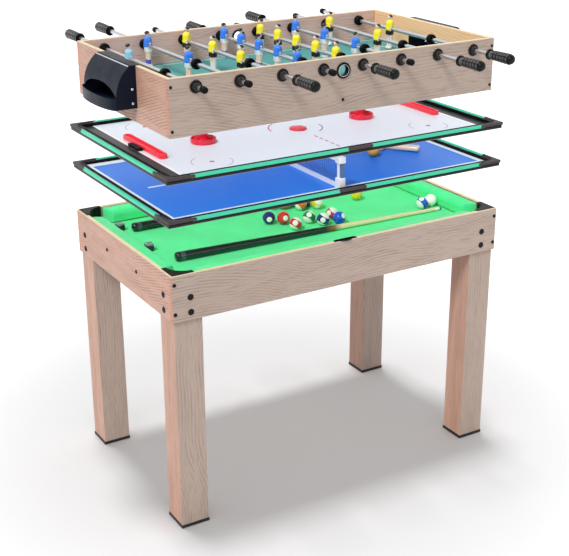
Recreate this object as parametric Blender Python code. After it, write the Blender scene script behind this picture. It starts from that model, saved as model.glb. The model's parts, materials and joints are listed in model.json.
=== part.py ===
"""Multi game table: a pool table base with a tennis layer, a hockey layer and a table football box.

The layers are held apart above the base, as they are shown when the table is taken to pieces.
Metres, +Z up, +X to the right along the long side, -Y to the front, origin on the floor.
"""

import math

import bmesh
import bpy
from mathutils import Matrix, Vector

# Clearances and cuts
GAP = 0.0003
OVERRUN = 0.004
EDGE = 0.0012
MERGE_DISTANCE = 0.00001

# Table base
TABLE_LENGTH = 1.070
TABLE_WIDTH = 0.640
RIM_HEIGHT = 0.755
PANEL = 0.012
APRON_HEIGHT = 0.130
LEG_SIZE = 0.082
LEG_SETBACK = 0.006
FOOT_CAP_HEIGHT = 0.009
FOOT_CAP_PROUD = 0.0015

# Pool bed, cushions and corner pockets
BED_DEPTH = 0.045
BED_THICKNESS = 0.012
CUSHION_WIDTH = 0.042
CUSHION_DROP = 0.004
CUSHION_CLEAR_OF_CORNER = 0.062
CUSHION_MITRE = 0.020
POCKET_REACH = 0.068
POCKET_LINER = 0.006
POCKET_PLATE = 0.0015
POCKET_SEGMENTS = 10

# Cues and balls
CUE_LENGTH = 0.890
CUE_BUTT_RADIUS = 0.0135
CUE_TIP_RADIUS = 0.0052
CUE_START = -0.425
CUE_FRONT_BUTT_Y = -0.118
CUE_FRONT_TIP_Y = -0.143
CUE_BACK_BUTT_Y = 0.168
CUE_BACK_TIP_Y = 0.162
BALL_RADIUS = 0.019
BALL_KISS = 0.0004
RACK_X = 0.028
RACK_Y = 0.137

# Loose layers: a board with a rail frame on it
BOARD_THICKNESS = 0.008
RAIL_WIDTH = 0.023
RAIL_HEIGHT = 0.006
RAIL_CROWN = 0.0022
TENNIS_LIFT = 0.130
HOCKEY_LIFT = 0.0135
BOX_LIFT = 0.101

# Tennis net
NET_END_CLEARANCE = 0.001
NET_HEIGHT = 0.086
NET_TAPE = 0.012
NET_STRAND = 0.0016
NET_THICKNESS = 0.0016
NET_GAPS_ALONG = 24
NET_GAPS_UP = 4
POST_WIDTH = 0.012
POST_DEPTH = 0.010
POST_BLOCK = 0.022
POST_BLOCK_HEIGHT = 0.018
POST_FOOT_LENGTH = 0.030
POST_ABOVE_NET = 0.0052

# Hockey goals and pushers
GOAL_X = 0.448
GOAL_LENGTH = 0.250
GOAL_WIDTH = 0.026
GOAL_HEIGHT = 0.012
GOAL_WALL = 0.003
GOAL_FLOOR = 0.002
PUSHER_RADIUS = 0.036
PUSHER_BASE_HEIGHT = 0.014
PUSHER_WALL = 0.003
PUSHER_DISH_FLOOR = 0.004
PUSHER_GRIP_RADIUS = 0.015
PUSHER_HEIGHT = 0.042
PUSHER_LEFT_X = -0.285
PUSHER_RIGHT_X = 0.240
PUSHER_Y = -0.030

# Table football box
BOX_LENGTH = 1.020
BOX_WIDTH = 0.585
BOX_HEIGHT = 0.150
PITCH_THICKNESS = 0.006
FOOT_CLEARANCE = 0.003
GOAL_MOUTH_WIDTH = 0.190
GOAL_MOUTH_HEIGHT = 0.046
ENTRY_RING_RADIUS = 0.0215
ENTRY_HOLE_RADIUS = 0.0160
ENTRY_RING_PROUD = 0.003
ENTRY_BELOW_RIM = 0.036

# Rods, figures, bumpers and grips
ROD_PITCH = 0.124
ROD_BELOW_RIM = 0.027
ROD_RADIUS = 0.006
BORE_CLEARANCE = 0.0004
BEARING_RADIUS = 0.0175
BEARING_FLANGE = 0.004
BEARING_NOSE_RADIUS = 0.0105
BEARING_NOSE = 0.007
MAN_ABOVE = 0.042
MAN_BELOW = 0.060
MAN_WIDTH = 0.025
MAN_DEPTH = 0.0200
BUMPER_RADIUS = 0.0150
BUMPER_LENGTH = 0.012
RING_LENGTH = 0.018
RING_CLEARANCE = 0.002
WALL_REST = 0.002
CAP_RADIUS = 0.0090
CAP_LENGTH = 0.020
GRIP_LENGTH = 0.098
GRIP_RADIUS = 0.0175
GRIP_COLLAR_RADIUS = 0.0155
GRIP_MARGIN = 0.003
GRIP_SOCKET = 0.042
FRONT_STUB = 0.044
BACK_STUB = 0.024

# Ball returns
RETURN_WIDTH = 0.215
RETURN_TOP_DEPTH = 0.017
RETURN_HOOD_DEPTH = 0.0575
RETURN_CUP_DEPTH = 0.080
RETURN_CUP_STRAIGHT = 0.058
RETURN_CUP_HEIGHT = 0.030
RETURN_HEIGHT = 0.110
RETURN_WALL = 0.003
RETURN_ARCH_WIDTH = 0.200
RETURN_ARCH_HEIGHT = 0.034

# Counts
ROD_COUNT = 8
ROUND_SIDES = 12
MAN_SIDES = 6
PUSHER_SIDES = 18
BALL_SEGMENTS = 12
BALL_RINGS = 8
HOOD_STEPS = 8
CUP_STEPS = 16
GOAL_STEPS = 8
ARCH_STEPS = 12
SHARP_ANGLE = 35

# A figure from sole to crown: share of its height, of its width and of its depth
MAN_SHARES = (
    (0.00, 0.66, 0.82),
    (0.11, 0.72, 0.86),
    (0.17, 0.46, 0.54),
    (0.40, 0.62, 0.66),
    (0.46, 0.84, 0.92),
    (0.58, 0.74, 0.80),
    (0.76, 1.00, 0.94),
    (0.81, 0.40, 0.52),
    (0.86, 0.58, 0.86),
    (0.95, 0.58, 0.88),
    (1.00, 0.30, 0.44),
)

# A grip from collar to end: share of its length, then of its largest radius
GRIP_SHARES = (
    (0.09, 0.60),
    (0.16, 0.60),
    (0.25, 0.92),
    (0.37, 0.90),
    (0.43, 1.00),
    (0.55, 0.90),
    (0.61, 1.00),
    (0.73, 0.88),
    (0.79, 0.98),
    (0.93, 0.84),
    (1.00, 0.46),
)

# Rods from the left: the figures on each, their spacing by count and the side of the grip (1 is the back)
FIGURE_COUNTS = (1, 2, 3, 5, 5, 3, 2, 1)
FIGURE_PITCH_SHARES = {2: 0.927, 3: 0.585, 5: 0.371}
KEEPER_SHARE = 0.38
GRIP_SIDES = (1, 1, -1, 1, -1, 1, -1, -1)

# Where the loose rings lie, as shares of the way from the front figure to the front wall, and how far
# the front grips stand off, as shares of the grip length
RING_SHARES = (0.57, 0.095, 0.14, 0.02, 0.02, 0.13, 0.425, 0.52)
FRONT_GRIP_SHARES = {2: 0.60, 4: 0.46, 6: 0.88, 7: 0.61}

# The balls of the rack that touch: which earlier ball each one leans on, and the way it lies from it
RACK_CHAIN = ((0, -30), (1, 0), (2, -30), (2, -90), (3, -60))

# Places that follow from the sizes
HALF_LENGTH = TABLE_LENGTH / 2
HALF_WIDTH = TABLE_WIDTH / 2
APRON_BOTTOM = RIM_HEIGHT - APRON_HEIGHT
BED_TOP = RIM_HEIGHT - BED_DEPTH
BED_BOTTOM = BED_TOP - BED_THICKNESS
TRAY_HALF_LENGTH = HALF_LENGTH - PANEL
TRAY_HALF_WIDTH = HALF_WIDTH - PANEL
ON_BED = BED_TOP + GAP
TENNIS_BOTTOM = RIM_HEIGHT + TENNIS_LIFT
NET_TOP = TENNIS_BOTTOM + BOARD_THICKNESS + GAP + NET_HEIGHT + POST_ABOVE_NET
HOCKEY_BOTTOM = NET_TOP + HOCKEY_LIFT
BOX_BOTTOM = HOCKEY_BOTTOM + BOARD_THICKNESS + BOX_LIFT
BOX_TOP = BOX_BOTTOM + BOX_HEIGHT
NET_LENGTH = 2 * (HALF_WIDTH - RAIL_WIDTH - NET_END_CLEARANCE) - POST_BLOCK - POST_DEPTH
BOX_HALF_LENGTH = BOX_LENGTH / 2
BOX_HALF_WIDTH = BOX_WIDTH / 2
INNER_HALF_LENGTH = BOX_HALF_LENGTH - PANEL
INNER_HALF_WIDTH = BOX_HALF_WIDTH - PANEL
ROD_HEIGHT = BOX_TOP - ROD_BELOW_RIM
PITCH_TOP = ROD_HEIGHT - MAN_BELOW - FOOT_CLEARANCE
BORE_RADIUS = (ROD_RADIUS + BORE_CLEARANCE) / math.cos(math.pi / ROUND_SIDES)
BEARING_REACH = BEARING_FLANGE + BEARING_NOSE
LAST_MAN_Y = INNER_HALF_WIDTH - WALL_REST - BUMPER_LENGTH - MAN_WIDTH / 2
RING_STOP = INNER_HALF_WIDTH - RING_LENGTH / 2
NOSE_END = BOX_HALF_WIDTH + BEARING_REACH


def figure_places(index):
    """The places of the figures along a rod, from the back."""
    count = FIGURE_COUNTS[index]
    if count == 1:
        return [KEEPER_SHARE * INNER_HALF_WIDTH]
    pitch = FIGURE_PITCH_SHARES[count] * INNER_HALF_WIDTH
    return [LAST_MAN_Y - k * pitch for k in range(count)]


def ring_place(index):
    """The place of a rod's loose ring, between its front figure and the front wall."""
    nearest = figure_places(index)[-1] - (MAN_WIDTH + RING_LENGTH) / 2 - RING_CLEARANCE
    return nearest - RING_SHARES[index] * (nearest + RING_STOP)


def rod_travel(index):
    """How far a rod slides to the front before its loose ring meets the wall."""
    return RING_STOP + ring_place(index)


def grip_start(index):
    """The distance from the middle of the box to the collar of a rod's grip."""
    if GRIP_SIDES[index] > 0:
        return NOSE_END + rod_travel(index) + GRIP_MARGIN
    return NOSE_END + FRONT_GRIP_SHARES[index] * GRIP_LENGTH


def back_end(index):
    """The place of a rod's back end, with its grip or its cap."""
    if GRIP_SIDES[index] > 0:
        return grip_start(index) + GRIP_LENGTH
    return NOSE_END + rod_travel(index) + BACK_STUB


def front_end(index):
    """The place of a rod's front end, with its grip or its cap."""
    if GRIP_SIDES[index] < 0:
        return -(grip_start(index) + GRIP_LENGTH)
    return -(NOSE_END + FRONT_STUB)


BACK_MOST = max(back_end(index) for index in range(ROD_COUNT))
FRONT_MOST = min(front_end(index) for index in range(ROD_COUNT))
TABLE_Y = -(BACK_MOST + FRONT_MOST) / 2


# Scene and materials
def clear_scene():
    """Remove every object of the scene."""
    for thing in list(bpy.data.objects):
        bpy.data.objects.remove(thing, do_unlink=True)


def material(name, colour, roughness, metallic=0.0):
    """A Principled material with one colour."""
    made = bpy.data.materials.new(name)
    made.use_nodes = True
    shader = made.node_tree.nodes["Principled BSDF"]
    shader.inputs["Base Color"].default_value = (*colour, 1.0)
    shader.inputs["Roughness"].default_value = roughness
    shader.inputs["Metallic"].default_value = metallic
    return made


def empty(name, parent, place):
    """An empty that carries the pieces of one layer."""
    made = bpy.data.objects.new(name, None)
    bpy.context.collection.objects.link(made)
    made.parent = parent
    made.location = place
    return made


def piece(name, shape, finish, parent, place=(0, 0, 0), turn=(0, 0, 0), smooth=False):
    """Make one named object from a bmesh, under its layer's empty."""
    mesh = bpy.data.meshes.new(name)
    bmesh.ops.recalc_face_normals(shape, faces=shape.faces[:])
    shape.to_mesh(mesh)
    shape.free()
    made = bpy.data.objects.new(name, mesh)
    bpy.context.collection.objects.link(made)
    made.data.materials.append(finish)
    made.parent = parent
    made.location = place
    made.rotation_euler = turn
    if smooth:
        mesh.shade_smooth()
        mesh.set_sharp_from_angle(angle=math.radians(SHARP_ANGLE))
    return made


# Shapes
def cuboid(low, high, edge=0.0):
    """A box between two corners, with its edges chamfered by edge."""
    shape = bmesh.new()
    bmesh.ops.create_cube(shape, size=1)
    for vertex in shape.verts:
        share = [value + 1 / 2 for value in vertex.co]
        vertex.co = [low[i] + (high[i] - low[i]) * share[i] for i in range(3)]
    if edge:
        bmesh.ops.bevel(shape, geom=shape.edges[:], offset=edge, segments=1, affect="EDGES")
    return shape


def loft(rings):
    """Join rings of points that have equal counts, and close the first and the last."""
    shape = bmesh.new()
    loops = [[shape.verts.new(point) for point in ring] for ring in rings]
    count = len(loops[0])
    for lower, upper in zip(loops, loops[1:]):
        for i in range(count):
            j = (i + 1) % count
            shape.faces.new((lower[i], lower[j], upper[j], upper[i]))
    shape.faces.new(loops[0][::-1])
    shape.faces.new(loops[-1])
    return shape


def prism(outline, low, high, axis="Z"):
    """Extrude a flat outline from low to high along an axis."""
    def place(point, height):
        if axis == "Z":
            return (point[0], point[1], height)
        if axis == "Y":
            return (point[0], height, point[1])
        return (height, point[0], point[1])

    return loft([[place(p, low) for p in outline], [place(p, high) for p in outline]])


def lathe(profile, sides=ROUND_SIDES, axis="Y", phase=0.0):
    """Turn a profile of stations and radii around an axis, with flat ends."""
    rings = []
    for station, radius in profile:
        ring = []
        for k in range(sides):
            angle = 2 * math.pi * (k + phase) / sides
            a, b = radius * math.cos(angle), radius * math.sin(angle)
            if axis == "Y":
                ring.append((a, station, b))
            elif axis == "X":
                ring.append((station, a, b))
            else:
                ring.append((a, b, station))
        rings.append(ring)
    return loft(rings)


def merged(shapes):
    """Put several shapes that stay apart into one bmesh."""
    whole = bmesh.new()
    for shape in shapes:
        mesh = bpy.data.meshes.new("shape")
        bmesh.ops.recalc_face_normals(shape, faces=shape.faces[:])
        shape.to_mesh(mesh)
        shape.free()
        whole.from_mesh(mesh)
        bpy.data.meshes.remove(mesh)
    return whole


def moved(shape, offset):
    """Move a shape by an offset."""
    bmesh.ops.translate(shape, verts=shape.verts[:], vec=Vector(offset))
    return shape


def combined(shape, other, operation):
    """Unite or cut two shapes with an exact Boolean, and return the result as a bmesh."""
    holders = []
    for number, part in enumerate((shape, other)):
        mesh = bpy.data.meshes.new(f"operand_{number}")
        bmesh.ops.recalc_face_normals(part, faces=part.faces[:])
        part.to_mesh(mesh)
        part.free()
        holder = bpy.data.objects.new(f"operand_{number}", mesh)
        bpy.context.collection.objects.link(holder)
        holders.append(holder)
    cut = holders[0].modifiers.new("combine", "BOOLEAN")
    cut.object = holders[1]
    cut.operation = operation
    cut.solver = "EXACT"
    bpy.context.view_layer.update()
    evaluated = holders[0].evaluated_get(bpy.context.evaluated_depsgraph_get())
    result = bmesh.new()
    result.from_mesh(evaluated.to_mesh())
    evaluated.to_mesh_clear()
    for holder in holders:
        mesh = holder.data
        bpy.data.objects.remove(holder, do_unlink=True)
        bpy.data.meshes.remove(mesh)
    bmesh.ops.remove_doubles(result, verts=result.verts[:], dist=MERGE_DISTANCE)
    bmesh.ops.dissolve_degenerate(result, edges=result.edges[:], dist=MERGE_DISTANCE)
    return result


def arc(centre, radius, start, end, steps):
    """Points on an arc between two angles in degrees."""
    points = []
    for k in range(steps + 1):
        angle = math.radians(start + (end - start) * k / steps)
        points.append((centre[0] + radius * math.cos(angle), centre[1] + radius * math.sin(angle)))
    return points


# Table base
def build_base(frame, finishes):
    """Aprons, legs, bed, cushions and corner pockets of the pool table."""
    wood = finishes["oak"]
    for name, side in (("apron_front", -1), ("apron_back", 1)):
        low = (-HALF_LENGTH, min(side * HALF_WIDTH, side * TRAY_HALF_WIDTH), APRON_BOTTOM)
        high = (HALF_LENGTH, max(side * HALF_WIDTH, side * TRAY_HALF_WIDTH), RIM_HEIGHT)
        piece(name, cuboid(low, high, EDGE), wood, frame)
    for name, side in (("apron_left", -1), ("apron_right", 1)):
        low = (min(side * HALF_LENGTH, side * TRAY_HALF_LENGTH), GAP - TRAY_HALF_WIDTH, APRON_BOTTOM)
        high = (max(side * HALF_LENGTH, side * TRAY_HALF_LENGTH), TRAY_HALF_WIDTH - GAP, RIM_HEIGHT)
        piece(name, cuboid(low, high, EDGE), wood, frame)
    for across, x_side in (("left", -1), ("right", 1)):
        for along, y_side in (("front", -1), ("back", 1)):
            leg = leg_shape(x_side, y_side)
            piece(f"leg_{along}_{across}", leg, wood, frame)
            pocket = pocket_shape(x_side, y_side)
            piece(f"pocket_{along}_{across}", pocket, finishes["black_plastic"], frame)
    low = (GAP - TRAY_HALF_LENGTH, GAP - TRAY_HALF_WIDTH, BED_BOTTOM)
    high = (TRAY_HALF_LENGTH - GAP, TRAY_HALF_WIDTH - GAP, BED_TOP)
    piece("pool_bed", cuboid(low, high), finishes["green_cloth"], frame)
    build_cushions(frame, finishes["green_cloth"])


def leg_shape(x_side, y_side):
    """A square leg with a shoulder under the aprons and a tenon inside them, and its foot cap."""
    outer = (HALF_LENGTH - LEG_SETBACK, HALF_WIDTH - LEG_SETBACK)
    inner = (outer[0] - LEG_SIZE, outer[1] - LEG_SIZE)
    tenon = (TRAY_HALF_LENGTH - GAP, TRAY_HALF_WIDTH - GAP)

    def square(low, high, height):
        corners = ((low[0], low[1]), (high[0], low[1]), (high[0], high[1]), (low[0], high[1]))
        return [(x_side * x, y_side * y, height) for x, y in corners]

    cap_low = tuple(value - FOOT_CAP_PROUD for value in inner)
    cap_high = tuple(value + FOOT_CAP_PROUD for value in outer)
    shoulder = APRON_BOTTOM - GAP
    return loft([
        square(cap_low, cap_high, 0),
        square(cap_low, cap_high, FOOT_CAP_HEIGHT),
        square(inner, outer, FOOT_CAP_HEIGHT),
        square(inner, outer, shoulder),
        square(inner, tenon, shoulder),
        square(inner, tenon, BED_BOTTOM - GAP),
    ])


def pocket_shape(x_side, y_side):
    """A corner pocket: a curved liner down to the bed, and a plate over the rim with the same curve."""
    wall = (TRAY_HALF_LENGTH - GAP, TRAY_HALF_WIDTH - GAP)
    reach = POCKET_REACH - PANEL
    radius = reach - POCKET_LINER
    centre = (wall[0] - reach, wall[1] - reach)
    curve = arc(centre, radius, 0, 90, POCKET_SEGMENTS)
    inner = [(wall[0], centre[1]), *curve, (centre[0], wall[1]), wall]
    outer_corner = (HALF_LENGTH - EDGE, HALF_WIDTH - EDGE)
    plate = [(outer_corner[0], centre[1]), (curve[0][0], centre[1]), *curve[1:-1],
             (centre[0], curve[-1][1]), (centre[0], outer_corner[1]), outer_corner]

    def flip(outline):
        return [(x_side * x, y_side * y) for x, y in outline]

    plate_low = RIM_HEIGHT + GAP
    liner = prism(flip(inner), ON_BED, plate_low + POCKET_PLATE / 2)
    top = prism(flip(plate), plate_low, plate_low + POCKET_PLATE)
    return combined(liner, top, "UNION")


def build_cushions(frame, cloth):
    """Four cushions with a nose above the bed and mitred ends beside the pockets."""
    height = RIM_HEIGHT - CUSHION_DROP
    nose = ON_BED + (height - ON_BED) * 3 / 5
    foot = CUSHION_WIDTH * 3 / 4
    shoulder = CUSHION_WIDTH * 4 / 5
    profile = ((GAP, ON_BED), (foot, ON_BED), (CUSHION_WIDTH, nose), (shoulder, height), (GAP, height))
    runs = (
        ("cushion_front", TRAY_HALF_LENGTH, TRAY_HALF_WIDTH, 0),
        ("cushion_right", TRAY_HALF_WIDTH, TRAY_HALF_LENGTH, 90),
        ("cushion_back", TRAY_HALF_LENGTH, TRAY_HALF_WIDTH, 180),
        ("cushion_left", TRAY_HALF_WIDTH, TRAY_HALF_LENGTH, 270),
    )
    for name, half_run, wall, turn in runs:
        rings = []
        for end in (-1, 1):
            ring = []
            for inward, z in profile:
                mitre = CUSHION_MITRE * inward / CUSHION_WIDTH
                along = end * (half_run - CUSHION_CLEAR_OF_CORNER - mitre)
                ring.append((along, inward - wall, z))
            rings.append(ring)
        shape = loft(rings)
        bmesh.ops.rotate(shape, verts=shape.verts[:], matrix=Matrix.Rotation(math.radians(turn), 3, "Z"))
        piece(name, shape, cloth, frame)


def build_pool_things(frame, finishes):
    """The two cues and the balls of the rack that touch."""
    taper = math.atan((CUE_BUTT_RADIUS - CUE_TIP_RADIUS) / CUE_LENGTH)
    for name, butt_y, tip_y in (
        ("cue_front", CUE_FRONT_BUTT_Y, CUE_FRONT_TIP_Y),
        ("cue_back", CUE_BACK_BUTT_Y, CUE_BACK_TIP_Y),
    ):
        profile = (
            (0, CUE_BUTT_RADIUS * 3 / 4),
            (CUE_BUTT_RADIUS / 3, CUE_BUTT_RADIUS),
            (CUE_LENGTH - CUE_TIP_RADIUS, CUE_TIP_RADIUS),
            (CUE_LENGTH, CUE_TIP_RADIUS * 3 / 4),
        )
        shape = moved(lathe(profile, axis="X", phase=1 / 2), (0, 0, CUE_BUTT_RADIUS))
        turn = (0, taper, math.asin((tip_y - butt_y) / CUE_LENGTH))
        piece(name, shape, finishes["cue_wood"], frame, (CUE_START, butt_y, ON_BED), turn, True)
    step = 2 * BALL_RADIUS - BALL_KISS
    places = [(RACK_X, RACK_Y)]
    for parent, angle in RACK_CHAIN:
        x, y = places[parent]
        turn = math.radians(angle)
        places.append((x + step * math.cos(turn), y + step * math.sin(turn)))
    balls = None
    for x, y in places:
        ball = bmesh.new()
        bmesh.ops.create_uvsphere(ball, u_segments=BALL_SEGMENTS, v_segments=BALL_RINGS, radius=BALL_RADIUS)
        moved(ball, (x, y, ON_BED + BALL_RADIUS))
        balls = ball if balls is None else combined(balls, ball, "UNION")
    piece("racked_balls", balls, finishes["ball"], frame, smooth=True)


# Loose layers
def rail_shape(bottom):
    """A mitred rail frame with a crowned top, on the edge of a board."""
    base = bottom + GAP
    width, height = RAIL_WIDTH, RAIL_HEIGHT
    edge = RAIL_CROWN
    profile = (
        (0, base),
        (width, base),
        (width, base + height - edge),
        (width - edge, base + height),
        (edge, base + height),
        (0, base + height - edge),
    )
    shape = bmesh.new()
    corners = ((-1, -1), (1, -1), (1, 1), (-1, 1))
    loops = []
    for x_side, y_side in corners:
        ring = []
        for inward, z in profile:
            place = (x_side * (HALF_LENGTH - inward), y_side * (HALF_WIDTH - inward), z)
            ring.append(shape.verts.new(place))
        loops.append(ring)
    count = len(profile)
    for k in range(4):
        here, there = loops[k], loops[(k + 1) % 4]
        for i in range(count):
            j = (i + 1) % count
            shape.faces.new((here[i], here[j], there[j], there[i]))
    return shape


def board_shape(bottom):
    """A flat layer board of the table's outline."""
    low = (-HALF_LENGTH, -HALF_WIDTH, bottom)
    high = (HALF_LENGTH, HALF_WIDTH, bottom + BOARD_THICKNESS)
    return cuboid(low, high, EDGE)


def net_shape():
    """A net with square gaps between two tapes, held by two posts with block ends."""
    half = NET_LENGTH / 2
    mesh_low, mesh_high = NET_TAPE, NET_HEIGHT - NET_TAPE
    along_step = NET_LENGTH / NET_GAPS_ALONG
    up_step = (mesh_high - mesh_low) / NET_GAPS_UP
    along = [-half]
    for k in range(1, NET_GAPS_ALONG):
        middle = -half + k * along_step
        along += [middle - NET_STRAND / 2, middle + NET_STRAND / 2]
    along.append(half)
    up = [0, mesh_low]
    for k in range(1, NET_GAPS_UP):
        middle = mesh_low + k * up_step
        up += [middle - NET_STRAND / 2, middle + NET_STRAND / 2]
    up += [mesh_high, NET_HEIGHT]
    shape = bmesh.new()
    grid = [[shape.verts.new((0, y, z)) for z in up] for y in along]
    faces = []
    for i in range(len(along) - 1):
        for j in range(len(up) - 1):
            gap = i % 2 == 0 and j % 2 == 1
            if not gap:
                quad = (grid[i][j], grid[i + 1][j], grid[i + 1][j + 1], grid[i][j + 1])
                faces.append(shape.faces.new(quad))
    extruded = bmesh.ops.extrude_face_region(shape, geom=faces)
    top = [item for item in extruded["geom"] if isinstance(item, bmesh.types.BMVert)]
    bmesh.ops.translate(shape, verts=top, vec=(NET_THICKNESS, 0, 0))
    moved(shape, (-NET_THICKNESS / 2, 0, 0))
    posts = []
    for side in (-1, 1):
        low_y = min(side * (half - OVERRUN), side * (half + POST_DEPTH))
        high_y = max(side * (half - OVERRUN), side * (half + POST_DEPTH))
        column_low = (-POST_WIDTH / 2, low_y, 0)
        column_high = (POST_WIDTH / 2, high_y, NET_HEIGHT + POST_ABOVE_NET / 2)
        column = cuboid(column_low, column_high, EDGE)
        block_y = side * (half + POST_DEPTH / 2)
        ends = []
        for low_z, high_z, reach in (
            (0, POST_BLOCK_HEIGHT, POST_FOOT_LENGTH / 2),
            (NET_HEIGHT + POST_ABOVE_NET - POST_BLOCK_HEIGHT, NET_HEIGHT + POST_ABOVE_NET, POST_BLOCK / 2),
        ):
            low = (-reach, block_y - POST_BLOCK / 2, low_z)
            high = (reach, block_y + POST_BLOCK / 2, high_z)
            ends.append(cuboid(low, high, EDGE))
        posts.append(combined(column, merged(ends), "UNION"))
    return combined(shape, merged(posts), "UNION")


def build_tennis(layer, finishes):
    """The table tennis board, its rail and its net."""
    piece("tennis_board", board_shape(0), finishes["blue_board"], layer)
    piece("tennis_rail", rail_shape(BOARD_THICKNESS), finishes["mint_rail"], layer)
    piece("tennis_net", net_shape(), finishes["white_plastic"], layer, (0, 0, BOARD_THICKNESS + GAP))


def goal_shape():
    """A goal trough: a capsule outline with a raised lip round a shallow slot."""
    radius = GOAL_WIDTH / 2
    straight = GOAL_LENGTH / 2 - radius

    def capsule(inset):
        ends = arc((0, straight), radius - inset, 0, 180, GOAL_STEPS)
        return ends + arc((0, -straight), radius - inset, 180, 360, GOAL_STEPS)

    body = prism(capsule(0), 0, GOAL_HEIGHT)
    slot = prism(capsule(GOAL_WALL), GOAL_FLOOR, GOAL_HEIGHT + OVERRUN)
    return combined(body, slot, "DIFFERENCE")


def pusher_shape():
    """A pusher: a dished base with a round grip in its middle."""
    rim = PUSHER_BASE_HEIGHT
    inner = PUSHER_RADIUS - PUSHER_WALL
    edge = EDGE * 2
    profile = (
        (0, PUSHER_RADIUS - edge),
        (edge, PUSHER_RADIUS),
        (rim - edge / 2, PUSHER_RADIUS),
        (rim, PUSHER_RADIUS - PUSHER_WALL / 2),
        (rim - edge / 2, inner),
        (PUSHER_DISH_FLOOR, inner - edge),
        (PUSHER_DISH_FLOOR, PUSHER_GRIP_RADIUS + edge),
        (PUSHER_DISH_FLOOR + edge, PUSHER_GRIP_RADIUS * 4 / 5),
        (PUSHER_HEIGHT - 2 * edge, PUSHER_GRIP_RADIUS),
        (PUSHER_HEIGHT - edge / 2, PUSHER_GRIP_RADIUS - edge / 2),
        (PUSHER_HEIGHT, PUSHER_GRIP_RADIUS / 2),
    )
    return lathe(profile, sides=PUSHER_SIDES, axis="Z")


def build_hockey(layer, finishes):
    """The hockey board, its rail, two goals and two pushers."""
    piece("hockey_board", board_shape(0), finishes["white_board"], layer)
    piece("hockey_rail", rail_shape(BOARD_THICKNESS), finishes["mint_rail"], layer)
    on_board = BOARD_THICKNESS + GAP
    for name, x in (("hockey_goal_left", -GOAL_X), ("hockey_goal_right", GOAL_X)):
        piece(name, goal_shape(), finishes["red_plastic"], layer, (x, 0, on_board))
    for name, x in (("pusher_left", PUSHER_LEFT_X), ("pusher_right", PUSHER_RIGHT_X)):
        place = (x, PUSHER_Y, on_board)
        piece(name, pusher_shape(), finishes["red_plastic"], layer, place, smooth=True)


# Table football box
def rod_x(index):
    """The place of a rod along the box."""
    return (index - (ROD_COUNT - 1) / 2) * ROD_PITCH


def long_panel_shape(side):
    """A long panel with eight rod bearings, their bores and a ball entry hole."""
    outer = side * BOX_HALF_WIDTH
    inner = side * INNER_HALF_WIDTH
    low = (-BOX_HALF_LENGTH, min(outer, inner), 0)
    high = (BOX_HALF_LENGTH, max(outer, inner), BOX_HEIGHT)
    panel = cuboid(low, high, EDGE)
    rod_z = BOX_HEIGHT - ROD_BELOW_RIM
    entry_z = BOX_HEIGHT - ENTRY_BELOW_RIM
    nose = (
        (inner + side * PANEL / 2, BEARING_RADIUS * 4 / 5),
        (outer, BEARING_RADIUS),
        (outer + side * BEARING_FLANGE, BEARING_RADIUS * 24 / 25),
        (outer + side * BEARING_FLANGE * 6 / 5, BEARING_NOSE_RADIUS * 7 / 6),
        (outer + side * BEARING_REACH, BEARING_NOSE_RADIUS),
    )
    ring = (
        (inner - side * ENTRY_RING_PROUD, ENTRY_RING_RADIUS),
        (outer + side * ENTRY_RING_PROUD, ENTRY_RING_RADIUS),
    )
    added = [moved(lathe(ring, 2 * ROUND_SIDES), (0, 0, entry_z))]
    holes = []
    bore_end = outer + side * (BEARING_REACH + OVERRUN)
    through = ((inner - side * OVERRUN, BORE_RADIUS), (bore_end, BORE_RADIUS))
    for index in range(ROD_COUNT):
        place = (rod_x(index), 0, rod_z)
        added.append(moved(lathe(nose), place))
        holes.append(moved(lathe(through), place))
    entry = (
        (inner - side * (ENTRY_RING_PROUD + OVERRUN), ENTRY_HOLE_RADIUS),
        (outer + side * (ENTRY_RING_PROUD + OVERRUN), ENTRY_HOLE_RADIUS),
    )
    holes.append(moved(lathe(entry, 2 * ROUND_SIDES), (0, 0, entry_z)))
    return combined(combined(panel, merged(added), "UNION"), merged(holes), "DIFFERENCE")


def end_panel_shape(side):
    """An end panel with a goal mouth that stands on the pitch."""
    outer = side * BOX_HALF_LENGTH
    inner = side * INNER_HALF_LENGTH
    reach = INNER_HALF_WIDTH - GAP
    panel = cuboid((min(outer, inner), -reach, 0), (max(outer, inner), reach, BOX_HEIGHT), EDGE)
    sill = PITCH_TOP - BOX_BOTTOM
    low = (min(outer, inner) - OVERRUN, -GOAL_MOUTH_WIDTH / 2, sill)
    high = (max(outer, inner) + OVERRUN, GOAL_MOUTH_WIDTH / 2, sill + GOAL_MOUTH_HEIGHT)
    return combined(panel, cuboid(low, high), "DIFFERENCE")


def cup_outline(inset):
    """Half of a ball cup's plan: straight sides from the panel, then half an ellipse."""
    half = RETURN_WIDTH / 2 - inset
    start = -OVERRUN if inset else 0
    points = [(start, half)]
    depth = RETURN_CUP_DEPTH - RETURN_CUP_STRAIGHT - inset
    for k in range(CUP_STEPS + 1):
        angle = math.pi * (1 / 2 - k / CUP_STEPS)
        points.append((RETURN_CUP_STRAIGHT + depth * math.cos(angle), half * math.sin(angle)))
    points.append((start, -half))
    return points


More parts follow.
